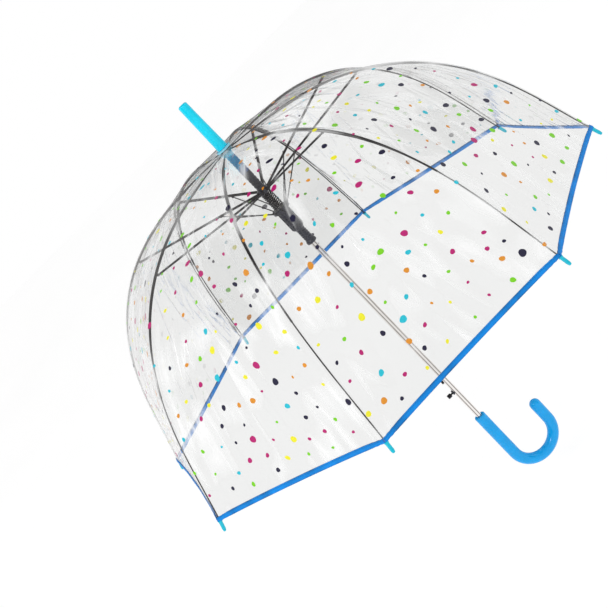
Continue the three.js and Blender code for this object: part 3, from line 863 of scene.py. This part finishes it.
def makeRunner():
    s = runnerSizes
    z = runnerHeight
    under = z - s["flangeHalf"]
    step = under - s["upperLength"]
    foot = step - s["lowerLength"] - s["taper"]
    end = foot - s["footLength"]
    profile = [(s["bore"], end), (s["footRadius"], end), (s["footRadius"], foot),
               (s["lowerRadius"], foot + 0.002)]
    # finger grooves on the lower part, rings on the upper part
    low, high = foot + 0.003, step - s["taper"] - 0.002
    each = (high - low) / s["grooves"]
    profile += grooved(s["lowerRadius"], low, (s["grooves"], each * 0.2, each, s["grooveDepth"],
                                               (0.0, each * 0.15, each * 0.35, each * 0.5)))
    profile += [(s["lowerRadius"], step - s["taper"]), (s["upperRadius"], step)]
    profile += grooved(s["upperRadius"], step, s["upperRings"])
    profile += [(s["upperRadius"], under), (s["flangeRim"], under), (s["flangeRim"], z + s["flangeHalf"]),
                (s["bore"], z + s["flangeHalf"])]
    runner = turned("runner_body", rounded(profile, 0.0005, 2), blackPlasticLook, sides=96)
    slotFloor, side, slot = s["linkPivotRadius"] - s["linkSlotBack"], s["linkSide"], s["linkSlotHalf"]
    cutters = [boxCutter((-s["flangeRim"], -s["slitHalf"], end - 0.001),
                         (0, s["slitHalf"], end + s["slitHeight"]))]
    for k in ribNumbers:
        cutters.append(boxCutter((slotFloor, side - slot, under - 0.001),
                                 (s["linkSlotReach"], side + slot, z + s["flangeHalf"] + 0.001), ribTurn[k]))
    cutAway(runner, cutters)
    # raised ribs down the upper part
    fins = []
    for i in range(s["fins"]):
        a = ribTurn[1] + math.pi / 8 + i * 2 * math.pi / s["fins"]
        fin = boxCutter((s["upperRadius"] - 0.0012, -s["finHalf"], step + 0.001),
                        (s["upperRadius"] + 0.0007, s["finHalf"], under + 0.0002), a)
        fin.data.materials.append(blackPlasticLook)
        bevelAll(fin, 0.0003)
        fins.append(fin)
    wire = turnedWire("runner_wire", s["linkPivotRadius"], z, s["runnerWire"], wireLook)
    runner = joined("runner_sleeve", [runner, wire] + fins)
    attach(runner, "runner")
    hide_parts("runner")


def bevelAll(thing, width, segments=2):
    work = bmesh.new()
    work.from_mesh(thing.data)
    bmesh.ops.bevel(work, geom=list(work.edges), offset=width, segments=segments, affect="EDGES", profile=0.6)
    work.to_mesh(thing.data)
    work.free()
    shadeSmooth(thing, 40)


makeHub()
makeSpring()
makeRunner()
print("hub, spring and runner made")

# release button

buttonSizes = {
    "edgeRound": 0.00035,
    "edgeSteps": 3,
    "edgeAngle": 35,          # degrees, corners blunter than this stay as they are
}

for node, look in (("button_housing", blackPlasticLook), ("release_latch", wireLook)):
    part = frame["nodes"][node]
    part.data.materials.clear()
    part.data.materials.append(look)
    edge = part.modifiers.new("softEdge", "BEVEL")
    edge.width = buttonSizes["edgeRound"]
    edge.segments = buttonSizes["edgeSteps"]
    edge.limit_method = "ANGLE"
    edge.angle_limit = math.radians(buttonSizes["edgeAngle"])
print("button made")

# ribs

ribSizes = {
    "width": 0.0037,
    "depth": 0.0034,
    "wall": 0.0006,
    "rodRadius": 0.0010,
    "tailPastPivot": -0.0012,
    "rodJoin": 0.408,          # the channel hands over to a thin rod here
    "bendHalf": 0.045,         # half the length that flexes when the canopy folds
    "splitMiddle": 0.317,
    "cornerCut": 0.00035,
    "crimpRadius": 0.0014,
    "crimpBefore": 0.014,
    "crimpAfter": 0.004,
    # how stout the channel is: by the crown, gained and then lost outwards, each from and over a length
    "stoutAtCrown": 0.55,
    "stoutGain": (0.45, 0.045, 0.04),
    "stoutLoss": (0.42, 0.25, 0.14),
}
bracketSizes = {
    "belowRib": 0.0038,
    "lugRadius": 0.0019,
    "lugHeight": 0.0042,
    "plateHalf": 0.001,
    "rivetRadius": 0.0008,
    "headRadius": 0.0015,
    "head": (0.0023, 0.0029),       # inner and outer face, from the rib's plane
}


def channelRing(along, width, depth, wall):
    # the folded channel's outline in a rib's own plane, open side down, slim by the crown
    (gain, gainFrom, gainOver), (loss, lossFrom, lossOver) = ribSizes["stoutGain"], ribSizes["stoutLoss"]
    stout = (ribSizes["stoutAtCrown"] + gain * smoothStep((along - gainFrom) / gainOver)
             - loss * smoothStep((along - lossFrom) / lossOver))
    w, d = width / 2 * stout, depth / 2 * stout
    r = ribSizes["cornerCut"]
    outline = [(-w, -d), (-w + wall, -d), (-w + wall, d - wall), (w - wall, d - wall), (w - wall, -d),
               (w, -d), (w, d - r), (w - r, d), (-w + r, d), (-w, d - r)]
    out, height, slope = ribPoint(along)
    return [(out + b * math.sin(slope), a, height + b * math.cos(slope)) for a, b in outline]


def lengthLoft(name, k, stations, ringOf, material):
    # skins a closed outline along a rib, strut or other length, in rib k's plane
    rings = [ringOf(s) for s in stations]
    points = [outAlong(k, *p) for ring in rings for p in ring]
    faces = ringFaces(len(rings), len(rings[0]), inward=True)
    thing = newObject(name, points, faces, material, sharp=40)
    weld(thing)
    return thing


def spaced(low, high, step):
    count = max(1, round((high - low) / step))
    return [low + (high - low) * i / count for i in range(count + 1)]


def rodRing(along, radius, sides=12):
    out, height, slope = ribPoint(along)
    return [(out + radius * x * math.sin(slope), radius * y, height + radius * x * math.cos(slope))
            for x, y in circle(sides)]


def pinAcross(name, k, out, height, radius, low, high, material, sides=16):
    # a domed pin lying across rib k's plane
    soft = min(radius * 0.45, 0.0004)
    rings = [(low, radius - soft), (low + soft * 0.4, radius - soft * 0.3), (low + soft, radius),
             (high - soft, radius), (high - soft * 0.4, radius - soft * 0.3), (high, radius - soft)]
    points = [outAlong(k, out + r * x, across, height + r * y)
              for across, r in rings for x, y in circle(sides)]
    thing = newObject(name, points, ringFaces(len(rings), sides), material, sharp=50)
    weld(thing)
    return thing


def bracketPoint():
    return ribPoint(ribCurve["strutBracket"], -bracketSizes["belowRib"])


def makeRib(k):
    s, b = ribSizes, bracketSizes
    first, second = ribCurve["firstFlex"], ribCurve["secondFlex"]
    half, join = s["bendHalf"], s["rodJoin"]

    def channel(name, low, high, step):
        return lengthLoft(f"rib_{k}_{name}", k, spaced(low, high, step),
                          lambda along: channelRing(along, s["width"], s["depth"], s["wall"]), blackSteelLook)

    def rodPart(name, low, high, step, radius):
        return lengthLoft(f"rib_{k}_{name}", k, spaced(low, high, step),
                          lambda along: rodRing(along, radius), blackSteelLook)

    inner = channel("crown_part", s["tailPastPivot"], first - half, 0.012)
    middle = channel("arch", first - half, s["splitMiddle"], 0.006)
    outer = channel("arch_end", s["splitMiddle"], join, 0.006)
    crimp = rodPart("crimp", join - s["crimpBefore"], join + s["crimpAfter"], 0.003, s["crimpRadius"])
    rod = rodPart("rod", join - 0.004, ribCurve["rodLength"], 0.007, s["rodRadius"])
    outer = joined(f"rib_{k}_rod_end", [outer, crimp, rod])
    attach(inner, f"rib_{k}")
    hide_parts(f"rib_inner_{k}")
    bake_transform(middle)
    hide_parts(f"rib_middle_{k}")
    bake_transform(outer)
    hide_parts(f"rib_outer_{k}")
    # bracket under the rib that carries the strut
    out, height, slope = bracketPoint()
    lug = [(b["lugRadius"] * math.cos(a), b["lugRadius"] * math.sin(a))
           for a in [math.pi + math.pi * i / 8 for i in range(9)]]
    lug += [(b["lugRadius"], b["lugHeight"]), (-b["lugRadius"], b["lugHeight"])]
    points, faces = [], []
    n = len(lug)
    for across in (-b["plateHalf"], b["plateHalf"]):
        for x, y in lug:
            points.append(outAlong(k, out + x * math.cos(slope) + y * math.sin(slope), across,
                                   height - x * math.sin(slope) + y * math.cos(slope)))
    faces += [tuple(range(n)), tuple(range(n, 2 * n))[::-1]]
    faces += [(i, n + i, n + (i + 1) % n, (i + 1) % n) for i in range(n)]
    plate = newObject(f"bracket_{k}_plate", points, faces, blackSteelLook, smooth=False)
    weld(plate)
    bevelAll(plate, 0.00025)
    near, far = b["head"]
    rivet = pinAcross(f"bracket_{k}_rivet", k, out, height, b["rivetRadius"], 0.0001 - far, far - 0.0001,
                      wireLook)
    heads = [pinAcross(f"bracket_{k}_head_{i}", k, out, height, b["headRadius"], low, high, wireLook)
             for i, (low, high) in enumerate(((-far, -near), (near, far)))]
    bracket = joined(f"strut_bracket_{k}", [plate, rivet] + heads)
    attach(bracket, f"rib_{k}")


# struts and links

strutSizes = {
    "width": 0.0042,
    "depth": 0.0028,
    "wall": 0.0007,
    "linkAlong": 0.070,
    "linkWire": 0.0009,
    "linkEye": 0.0020,
    "linkSide": 0.0039,
    "linkEyeHalf": 0.0008,
    "linkEyeHole": 0.0011,
    "lip": 0.0004,
    "pinRadius": 0.0008,
    "headRadius": 0.0015,
    "headThick": 0.0005,
    "backRadius": 0.0014,
    # the bar's rounded ends: how far past the pivot, and the share of its full depth there
    "ends": ((0.0014, 0.35), (0.0010, 0.75), (0.0003, 1.0)),
}


def makeStrut(k):
    s = strutSizes
    outEnd, highEnd, _ = bracketPoint()
    start = Vector((crownRadius, 0, hubHeight))
    end = Vector((outEnd, 0, highEnd))
    along = (end - start).normalized()
    up = Vector((-along.z, 0, along.x))
    length = (end - start).length
    w, d, wall, lip = s["width"] / 2, s["depth"] / 2, s["wall"], s["lip"]

    def channelAt(station):
        # the folded channel's outline, open side up, its side walls lower towards each end
        t, tall = station
        low, high = -d * tall, d * tall
        base = low + wall
        outline = [(-w, high), (-w, low + lip), (-w + lip, low), (w - lip, low), (w, low + lip), (w, high),
                   (w - wall, high), (w - wall, base), (-w + wall, base), (-w + wall, high)]
        c = start + along * t
        return [tuple(c + up * b + Vector((0, a, 0))) for a, b in outline]

    stations = [(-past, tall) for past, tall in s["ends"]]
    stations += [(t, 1.0) for t in spaced(0.004, length - 0.004, 0.016)]
    stations += [(length + past, tall) for past, tall in s["ends"][::-1]]
    bar = lengthLoft(f"strut_{k}_bar", k, stations, channelAt, blackSteelLook)
    pivot = start + along * s["linkAlong"]
    side = s["linkSide"] + s["linkEyeHalf"] + 0.0003
    pin, head, back = [pinAcross(f"strut_{k}_{name}", k, pivot.x, pivot.z, radius, low, high, wireLook)
                       for name, radius, low, high in (
                           ("pin", s["pinRadius"], w - wall, side),
                           ("head", s["headRadius"], side, side + s["headThick"]),
                           ("back", s["backRadius"], -w - 0.0003, -w + 0.0001))]
    strut = joined(f"strut_{k}_channel", [bar, pin, head, back])
    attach(strut, f"strut_{k}")
    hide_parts(f"strut_{k}")

    # the thin wire link from the strut down to the runner
    lowerEnd = Vector((runnerSizes["linkPivotRadius"], 0, runnerHeight))
    span = pivot - lowerEnd
    gone = span.normalized()
    reach = s["linkEye"] - s["linkWire"] * 0.5
    path = [outAlong(k, *(lowerEnd + gone * t + Vector((0, s["linkSide"], 0))))
            for t in spaced(reach, span.length - reach, 0.01)]
    wire = tubeAlong(f"link_{k}_wire", path, s["linkWire"], blackSteelLook, sides=12)
    eyes = []
    mid, half = (s["linkEye"] + s["linkEyeHole"]) / 2, (s["linkEye"] - s["linkEyeHole"]) / 2
    section = [(mid + half * x, s["linkEyeHalf"] * y) for x, y in circle(12)]
    for i, c in enumerate((lowerEnd, pivot)):
        points = [outAlong(k, c.x + r * x, s["linkSide"] + h, c.z + r * y) for x, y in circle(28)
                  for r, h in section]
        eyes.append(newObject(f"link_{k}_eye_{i}", points, spunFaces(28, len(section)), blackSteelLook))
        weld(eyes[-1])
    link = joined(f"link_{k}_rod", [wire] + eyes)
    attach(link, f"link_{k}")
    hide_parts(f"link_{k}")


for k in ribNumbers:
    makeRib(k)
    makeStrut(k)
print("ribs, struts and links made")

# rib tips

tipSizes = {
    "start": 0.6103,
    "length": 0.0182,
    "radius": 0.0029,
    "endRadius": 0.0023,
    "bore": 0.0014,
    "seat": 0.012,
    "collar": 0.0035,
    "collarSpan": (0.0005, 0.0021, 0.0029),      # where the collar is full, and where it has run out
    "narrowing": (0.005, 0.003),                 # from and to, before the end
}


def makeTip(k):
    s = tipSizes
    out, height, slope = ribPoint(s["start"])
    ahead = Vector((math.cos(slope), 0, -math.sin(slope)))
    up = Vector((math.sin(slope), 0, math.cos(slope)))
    length, radius, end, collar = s["length"], s["radius"], s["endRadius"], s["collar"]
    full, fullEnd, gone = s["collarSpan"]
    slimFrom, slimTo = s["narrowing"]
    profile = [(0.0, s["seat"]), (s["bore"], s["seat"]), (s["bore"], 0.0), (radius - 0.0003, 0.0),
               (collar, full), (collar, fullEnd), (radius, gone), (radius, length - slimFrom),
               (end + 0.0003, length - slimTo), (end, length - 0.0012),
               (end * 0.75, length - 0.0004), (end * 0.35, length), (0.0, length)]
    sides = 24
    start = Vector((out, 0, height))
    points = [outAlong(k, *(start + ahead * t + up * r * x + Vector((0, r * y, 0))))
              for x, y in circle(sides) for r, t in profile]
    tip = newObject(f"tip_{k}_cap", points, spunFaces(sides, len(profile), closed=False), capLook, sharp=50)
    weld(tip)
    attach(tip, f"rib_out_{k}")
    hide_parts(f"tip_{k}")


for k in ribNumbers:
    makeTip(k)
print("tips made")

# canopy film

filmSizes = {
    "aboveRib": 0.0028,
    "start": -0.0032,           # the film runs in under the crown washer
    "end": 0.6105,
    "sag": 0.012,               # share of the gap between ribs that the film pulls in by
    "edgeLift": 0.002,          # how much the hem rises between tips
    "liftFrom": 0.40,           # along the rib, where that begins
    "liftOver": 0.21,
    "seamWidth": 0.0042,
    "rows": 0.012,
    "columns": 11,
    "wrinkle": 0.0010,
    "ripples": (16.0, 34.0, 0.3),    # two fineness values, and the finer one's share
    "fans": 95.0,               # folds that spread from the tips
    "spare": 1.02,              # the film is cut this much larger than the frame it is stretched on
    # share of a band's width that is left beside its rib when the canopy is folded
    "keep": {"crown": 0.15, "middle": 0.10, "rim": 0.055},
}
dotSizes = {
    "seed": 12,
    "spacing": 0.031,
    "small": 0.0023,
    "large": 0.0058,
    "lift": 0.00018,
    "corners": 15,
    "tries": 5200,
    "fromCrown": 0.045,
    "fromHem": 0.022,
    "least": 1.5e-6,            # square metres, slivers cut off at a seam are left out
}
halfTurn = math.radians(22.5)
gapShare = math.sin(halfTurn)


def halfWidth(along):
    # from a rib to the middle of the gap beside it
    return gapShare * ribPoint(along, filmSizes["aboveRib"])[0]


def hemLift(along, share):
    # rows near the hem rise towards the middle of the gap
    near = smoothStep((along - filmSizes["liftFrom"]) / filmSizes["liftOver"])
    return along - filmSizes["edgeLift"] * near * 4 * share * (1 - share)


def filmPoint(k, along, across, lift=0.0):
    # a point on the film: along rib k, and across from it on either side
    side = 1 if across >= 0 else -1
    full = max(2 * halfWidth(along), 0.001)
    share = min(abs(across) / full, 1.0)
    row = hemLift(along, share)
    out, height, slope = ribPoint(row, filmSizes["aboveRib"])
    across = side * share * 2 * gapShare * out
    a = ribTurn[k]
    outward = Vector((math.cos(a), math.sin(a), 0))
    beside = Vector((-math.sin(a), math.cos(a), 0)) * side
    run = outward * -gapShare + beside * math.cos(halfTurn)
    point = outward * out + Vector((0, 0, height)) + run * abs(across)
    middle = a + side * halfTurn
    face = Vector((math.cos(middle) * math.sin(slope), math.sin(middle) * math.sin(slope), math.cos(slope)))
    curve = 4 * share * (1 - share)
    tight = smoothStep((out - 0.02) / 0.12)
    pull = filmSizes["sag"] * full * curve * tight
    coarse, fine, fineShare = filmSizes["ripples"]
    ripple = noise.noise(point * coarse + Vector((3.1, 0, 7.7))) + fineShare * noise.noise(point * fine)
    nearHem = smoothStep((row - 0.50) / 0.11)
    corner = nearHem * (1 - smoothStep(share / 0.30))
    fan = math.sin(share * filmSizes["fans"] + 4.0 * noise.noise(point * 9.0)) * corner
    wave = filmSizes["wrinkle"] * (0.55 * ripple * (0.35 + 0.65 * nearHem) + 0.3 * fan) * min(1.0, curve * 6)
    return point - face * pull + face * (wave + lift)


def filmNormal(k, along, across):
    # from two short steps on the film, kept on one side of the rib
    d = 0.0012
    side = 1 if across >= 0 else -1
    inside = across + side * d
    a = filmPoint(k, along + d, inside) - filmPoint(k, along - d, inside)
    b = filmPoint(k, along, across + side * 2 * d) - filmPoint(k, along, across + side * 0.00001)
    n = a.cross(b)
    n.normalize()
    return n if n.z > 0 or n.dot(Vector((math.cos(ribTurn[k]), math.sin(ribTurn[k]), 0))) > 0 else -n


bands = [("crown", filmSizes["start"], ribCurve["firstFlex"], "rib_{}"),
         ("middle", ribCurve["firstFlex"], ribCurve["secondFlex"], "rib_mid_{}"),
         ("rim", ribCurve["secondFlex"], filmSizes["end"], "rib_out_{}")]


def clipOutline(outline, axis, limit, keepAbove):
    # cuts a dot's outline at one straight line
    result = []
    for i, p in enumerate(outline):
        q = outline[(i + 1) % len(outline)]
        pin = (p[axis] >= limit) == keepAbove
        qin = (q[axis] >= limit) == keepAbove
        if pin:
            result.append(p)
        if pin != qin:
            t = (limit - p[axis]) / (q[axis] - p[axis])
            result.append((p[0] + (q[0] - p[0]) * t, p[1] + (q[1] - p[1]) * t))
    return result


def scatterDots(k):
    # irregular printed dots over the film beside rib k
    rng = random.Random(dotSizes["seed"] * 100 + k)
    placed, outlines = [], []
    weights = [share for _, share in inks]
    for _ in range(dotSizes["tries"]):
        along = rng.uniform(dotSizes["fromCrown"], filmSizes["end"] - dotSizes["fromHem"])
        limit = halfWidth(along)
        across = rng.uniform(-limit, limit)
        if rng.random() > limit / halfWidth(filmSizes["end"]):
            continue
        shrink = rng.random()
        radius = dotSizes["small"] + (dotSizes["large"] - dotSizes["small"]) * shrink ** 1.7
        if limit - abs(across) < radius * 1.3 + 0.0012:
            continue
        here = Vector((along, across))
        need = dotSizes["spacing"] * (0.72 + 0.6 * rng.random())
        if any((here - other).length < need for other in placed):
            continue
        placed.append(here)
        ink = rng.choices(range(len(inks)), weights)[0]
        stretch = rng.uniform(0.72, 1.0)
        turn = rng.uniform(0, math.pi)
        phase = [rng.uniform(0, 2 * math.pi) for _ in range(3)]
        outline = []
        for i in range(dotSizes["corners"]):
            a = 2 * math.pi * i / dotSizes["corners"]
            r = radius * (1 + 0.05 * math.sin(2 * a + phase[0]) + 0.05 * math.sin(3 * a + phase[1])
                          + 0.02 * math.sin(5 * a + phase[2]))
            u, v = r * math.cos(a), r * stretch * math.sin(a)
            outline.append((along + u * math.cos(turn) - v * math.sin(turn),
                            across + u * math.sin(turn) + v * math.cos(turn)))
        outlines.append((ink, outline))
    return outlines


sideNames = {1: "a", -1: "b"}


def giveUv(mesh, uvs):
    layer = mesh.uv_layers.new(name="uv")
    for loop in mesh.loops:
        layer.data[loop.index].uv = uvs[loop.vertex_index]


def makeFilm(k, side, band, low, high, body, dots):
    s = filmSizes
    rows = spaced(low, high, s["rows"])
    points, uvs, normals, faces, kinds = [], [], [], [], []
    columns = s["columns"]
    for along in rows:
        half = halfWidth(along)
        seam = min(s["seamWidth"], half * 0.4)
        for j in range(columns + 1):
            across = 0.0 if j == 0 else seam + (half - seam) * (j - 1) / (columns - 1)
            signed = side * max(across, 1e-7)
            points.append(filmPoint(k, along, signed))
            normals.append(filmNormal(k, along, signed))
            uvs.append((k * 0.7 + signed, along))
    n = columns + 1
    for i in range(len(rows) - 1):
        for j in range(columns):
            a = i * n + j
            face = (a, a + n, a + n + 1, a + 1)
            faces.append(face if side > 0 else face[::-1])
            kinds.append(1 if j == 0 else 0)
    for ink, outline in dots:
        shape = clipOutline(outline, 1, 0.0, side > 0)
        if len(shape) >= 3:
            shape = clipOutline(shape, 0, low, True)
        if len(shape) >= 3:
            shape = clipOutline(shape, 0, high, False)
        if len(shape) < 3:
            continue
        count = len(shape)
        middle = (sum(p[0] for p in shape) / count, sum(p[1] for p in shape) / count)
        area = abs(sum(p[0] * q[1] - q[0] * p[1] for p, q in zip(shape, shape[1:] + shape[:1]))) / 2
        if area < dotSizes["least"]:
            continue
        base = len(points)
        for along, across in [middle] + shape:
            across = side * max(side * across, 1e-6)
            points.append(filmPoint(k, along, across, dotSizes["lift"]))
            normals.append(filmNormal(k, along, across))
            uvs.append((k * 0.7 + across, along))
        turn = sum((p[0] - middle[0]) * (q[1] - middle[1]) - (q[0] - middle[0]) * (p[1] - middle[1])
                   for p, q in zip(shape, shape[1:] + shape[:1]))
        for i in range(count):
            face = (base, base + 1 + i, base + 1 + (i + 1) % count)
            faces.append(face if turn > 0 else face[::-1])
            kinds.append(2 + ink)
    film = newObject(f"film_{k}{sideNames[side]}_{band}", points, faces,
                     [filmLook, seamLook] + [m for m, _ in inks])
    mesh = film.data
    mesh.polygons.foreach_set("material_index", kinds)
    giveUv(mesh, uvs)
    mesh.normals_split_custom_set_from_vertices(normals)
    area = sum(p.area for p, kind in zip(mesh.polygons, kinds) if kind < 2)
    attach(film, body.format(k))
    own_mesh(film)
    wide, long = halfWidth(high) * s["spare"], (high - low) * s["spare"]
    return film, (wide, long), min(area, wide * long)


# edge binding

tapeSizes = {
    "width": 0.0080,
    "thickness": 0.0017,
    "foldThickness": 0.0030,
    "narrow": 0.0068,           # at the corners, where it is gathered to the tip
    "gatherLength": 0.034,
    "step": 0.0045,
    "pastFilm": 0.0008,
}


def makeTape(k, side):
    s = tapeSizes
    half = halfWidth(filmSizes["end"])
    stations = spaced(0.0004, half, s["step"])
    outline = []
    # the tape's section: t runs in from the folded edge, h is half the thickness there
    for t in (0.0, 0.03, 0.10, 0.22, 0.40, 0.62, 0.85, 1.0):
        h = (s["foldThickness"] * (1 - t) ** 1.4 + s["thickness"] * (1 - (1 - t) ** 1.4)) / 2
        h *= 1 - (1 - min(t / 0.12, 1.0)) ** 2
        outline.append((t, h))
    section = [(t, h) for t, h in outline] + [(t, -h) for t, h in outline[::-1] if h > 0]
    points, uvs = [], []
    for across in stations:
        gather = 1 - smoothStep(across / s["gatherLength"])
        width = s["width"] + (s["narrow"] - s["width"]) * gather
        pucker = 1 + 0.22 * gather * math.sin(across * 900) + 0.05 * math.sin(across * 410 + k)
        for t, h in section:
            along = (filmSizes["end"] + s["pastFilm"] - width * t
                     + 0.0006 * gather * math.sin(across * 700 + 3 * k))
            n = filmNormal(k, min(along, filmSizes["end"]), side * across)
            p = filmPoint(k, along, side * across)
            points.append(p + n * h * pucker)
            uvs.append((across + k * 0.4, width * (1 - t) if t > 0.02 else width))
    faces = ringFaces(len(stations), len(section))
    if side < 0:
        faces = [face[::-1] for face in faces]
    tape = newObject(f"binding_{k}{sideNames[side]}", points, faces, tapeLook, sharp=60)
    giveUv(tape.data, uvs)
    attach(tape, f"rib_out_{k}")
    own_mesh(tape)
    return tape


for k in ribNumbers:
    dots = scatterDots(k)
    for side in (1, -1):
        tape = makeTape(k, side)
        if k == 1 and side == 1:
            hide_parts("edge_binding")
        for band, low, high, body in bands:
            film, flat, area = makeFilm(k, side, band, low, high, body, dots)
            if k == 1 and side == 1 and band == "crown":
                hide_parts("canopy")
print("canopy and binding made")

# floor, light and camera

studio = {
    "floorBelow": 0.06,
    "floorSize": 14.0,
    "world": 1.0,
    "worldOnObject": 0.84,
    # darker gaps in the pale walls: bearing and half width in degrees, brightness
    "gaps": ((-150, 13, 0.10), (-38, 16, 0.06), (66, 20, 0.10)),
    "gapEdge": 4,
    "floorGlow": 0.785,
    "keySize": 1.4, "keyPower": 30, "keyPlace": (-1.7, -1.9, 2.3),
    "fillSize": 2.2, "fillPower": 9, "fillPlace": (2.4, -1.4, 1.3),
    "backSize": 1.2, "backPower": 4, "backPlace": (1.1, 2.2, 1.9),
    "aim": (0, 0, 0.42),
}


def makeStudio():
    low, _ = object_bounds()
    half = studio["floorSize"] / 2
    z = low.z - studio["floorBelow"]
    look = Look("paleFloor")
    look.feed(colour=look.ramp(look.grain(3, 2), [(0.3, (0.28, 0.28, 0.28)), (0.7, (0.30, 0.30, 0.30))]),
              roughness=0.9, glow=studio["floorGlow"], glowColour=(1, 1, 1, 1))
    corners = [(-half, -half, z), (half, -half, z), (half, half, z), (-half, half, z)]
    floor = newObject("floor", corners, [(0, 1, 2, 3)], look.material, smooth=False)

    world = bpy.data.worlds.new("studio")
    bpy.context.scene.world = world
    world.use_nodes = True
    # pale walls with a few darker gaps, which only show in what the parts reflect
    sky = Wiring(world.node_tree)
    split = sky.place("Generated")
    bearing = sky.maths("ARCTAN2", split.outputs[1], split.outputs[0])
    share = sky.maths("MULTIPLY_ADD", bearing, 0.5 / math.pi, c=0.5)
    stops = [(0.0, (1, 1, 1))]
    edge = studio["gapEdge"]
    for middle, half, shade in studio["gaps"]:
        for offset, level in ((-half - edge, 1.0), (-half, shade), (half, shade), (half + edge, 1.0)):
            stops.append(((middle + 180) / 360 + offset / 360, (level, level, level)))
    walls = sky.ramp(share, stops + [(1.0, (1, 1, 1))])
    mix = sky.node("ShaderNodeMix")
    sky.wire(sky.maths("MULTIPLY", walls, studio["worldOnObject"]), mix.inputs["A"])
    mix.inputs["B"].default_value = studio["world"]
    sky.wire(sky.node("ShaderNodeLightPath").outputs["Is Camera Ray"], mix.inputs["Factor"])
    back = world.node_tree.nodes["Background"]
    sky.wire(mix.outputs["Result"], back.inputs["Strength"])
    back.inputs["Color"].default_value = (1, 1, 1, 1)

    for name in ("key", "fill", "back"):
        lamp = bpy.data.lights.new(name, "AREA")
        lamp.shape = "RECTANGLE"
        lamp.size = studio[name + "Size"]
        lamp.size_y = studio[name + "Size"] * 0.6
        lamp.energy = studio[name + "Power"]
        thing = bpy.data.objects.new(name, lamp)
        thing.location = studio[name + "Place"]
        thing.rotation_mode = "QUATERNION"
        thing.rotation_quaternion = (Vector(studio["aim"]) - thing.location).to_track_quat("-Z", "Y")
        putInScene(thing)
    bpy.context.scene.view_settings.view_transform = "Standard"


cameraPlace = {
    "location": (-0.2621, -1.8979, 0.9906),
    "target": (-0.0786, 0.0076, 0.4046),
    "roll": -44.49,
    "lens": 74.01,
    "sensor": 36.0,
}


def makeCamera():
    c = cameraPlace
    camera = bpy.data.cameras.new("camera")
    camera.lens = c["lens"]
    camera.sensor_width = c["sensor"]
    camera.clip_start, camera.clip_end = 0.05, 60
    thing = bpy.data.objects.new("camera", camera)
    location, target = Vector(c["location"]), Vector(c["target"])
    ahead = (target - location).normalized()
    right = ahead.cross(Vector((0, 0, 1))).normalized()
    up = right.cross(ahead)
    roll = math.radians(c["roll"])
    newRight = right * math.cos(roll) + up * math.sin(roll)
    newUp = up * math.cos(roll) - right * math.sin(roll)
    spin = Matrix((newRight, newUp, -ahead)).transposed().to_4x4()
    thing.matrix_world = Matrix.Translation(location) @ spin
    bpy.context.scene.camera = putInScene(thing)


makeStudio()
makeCamera()
print("studio made")
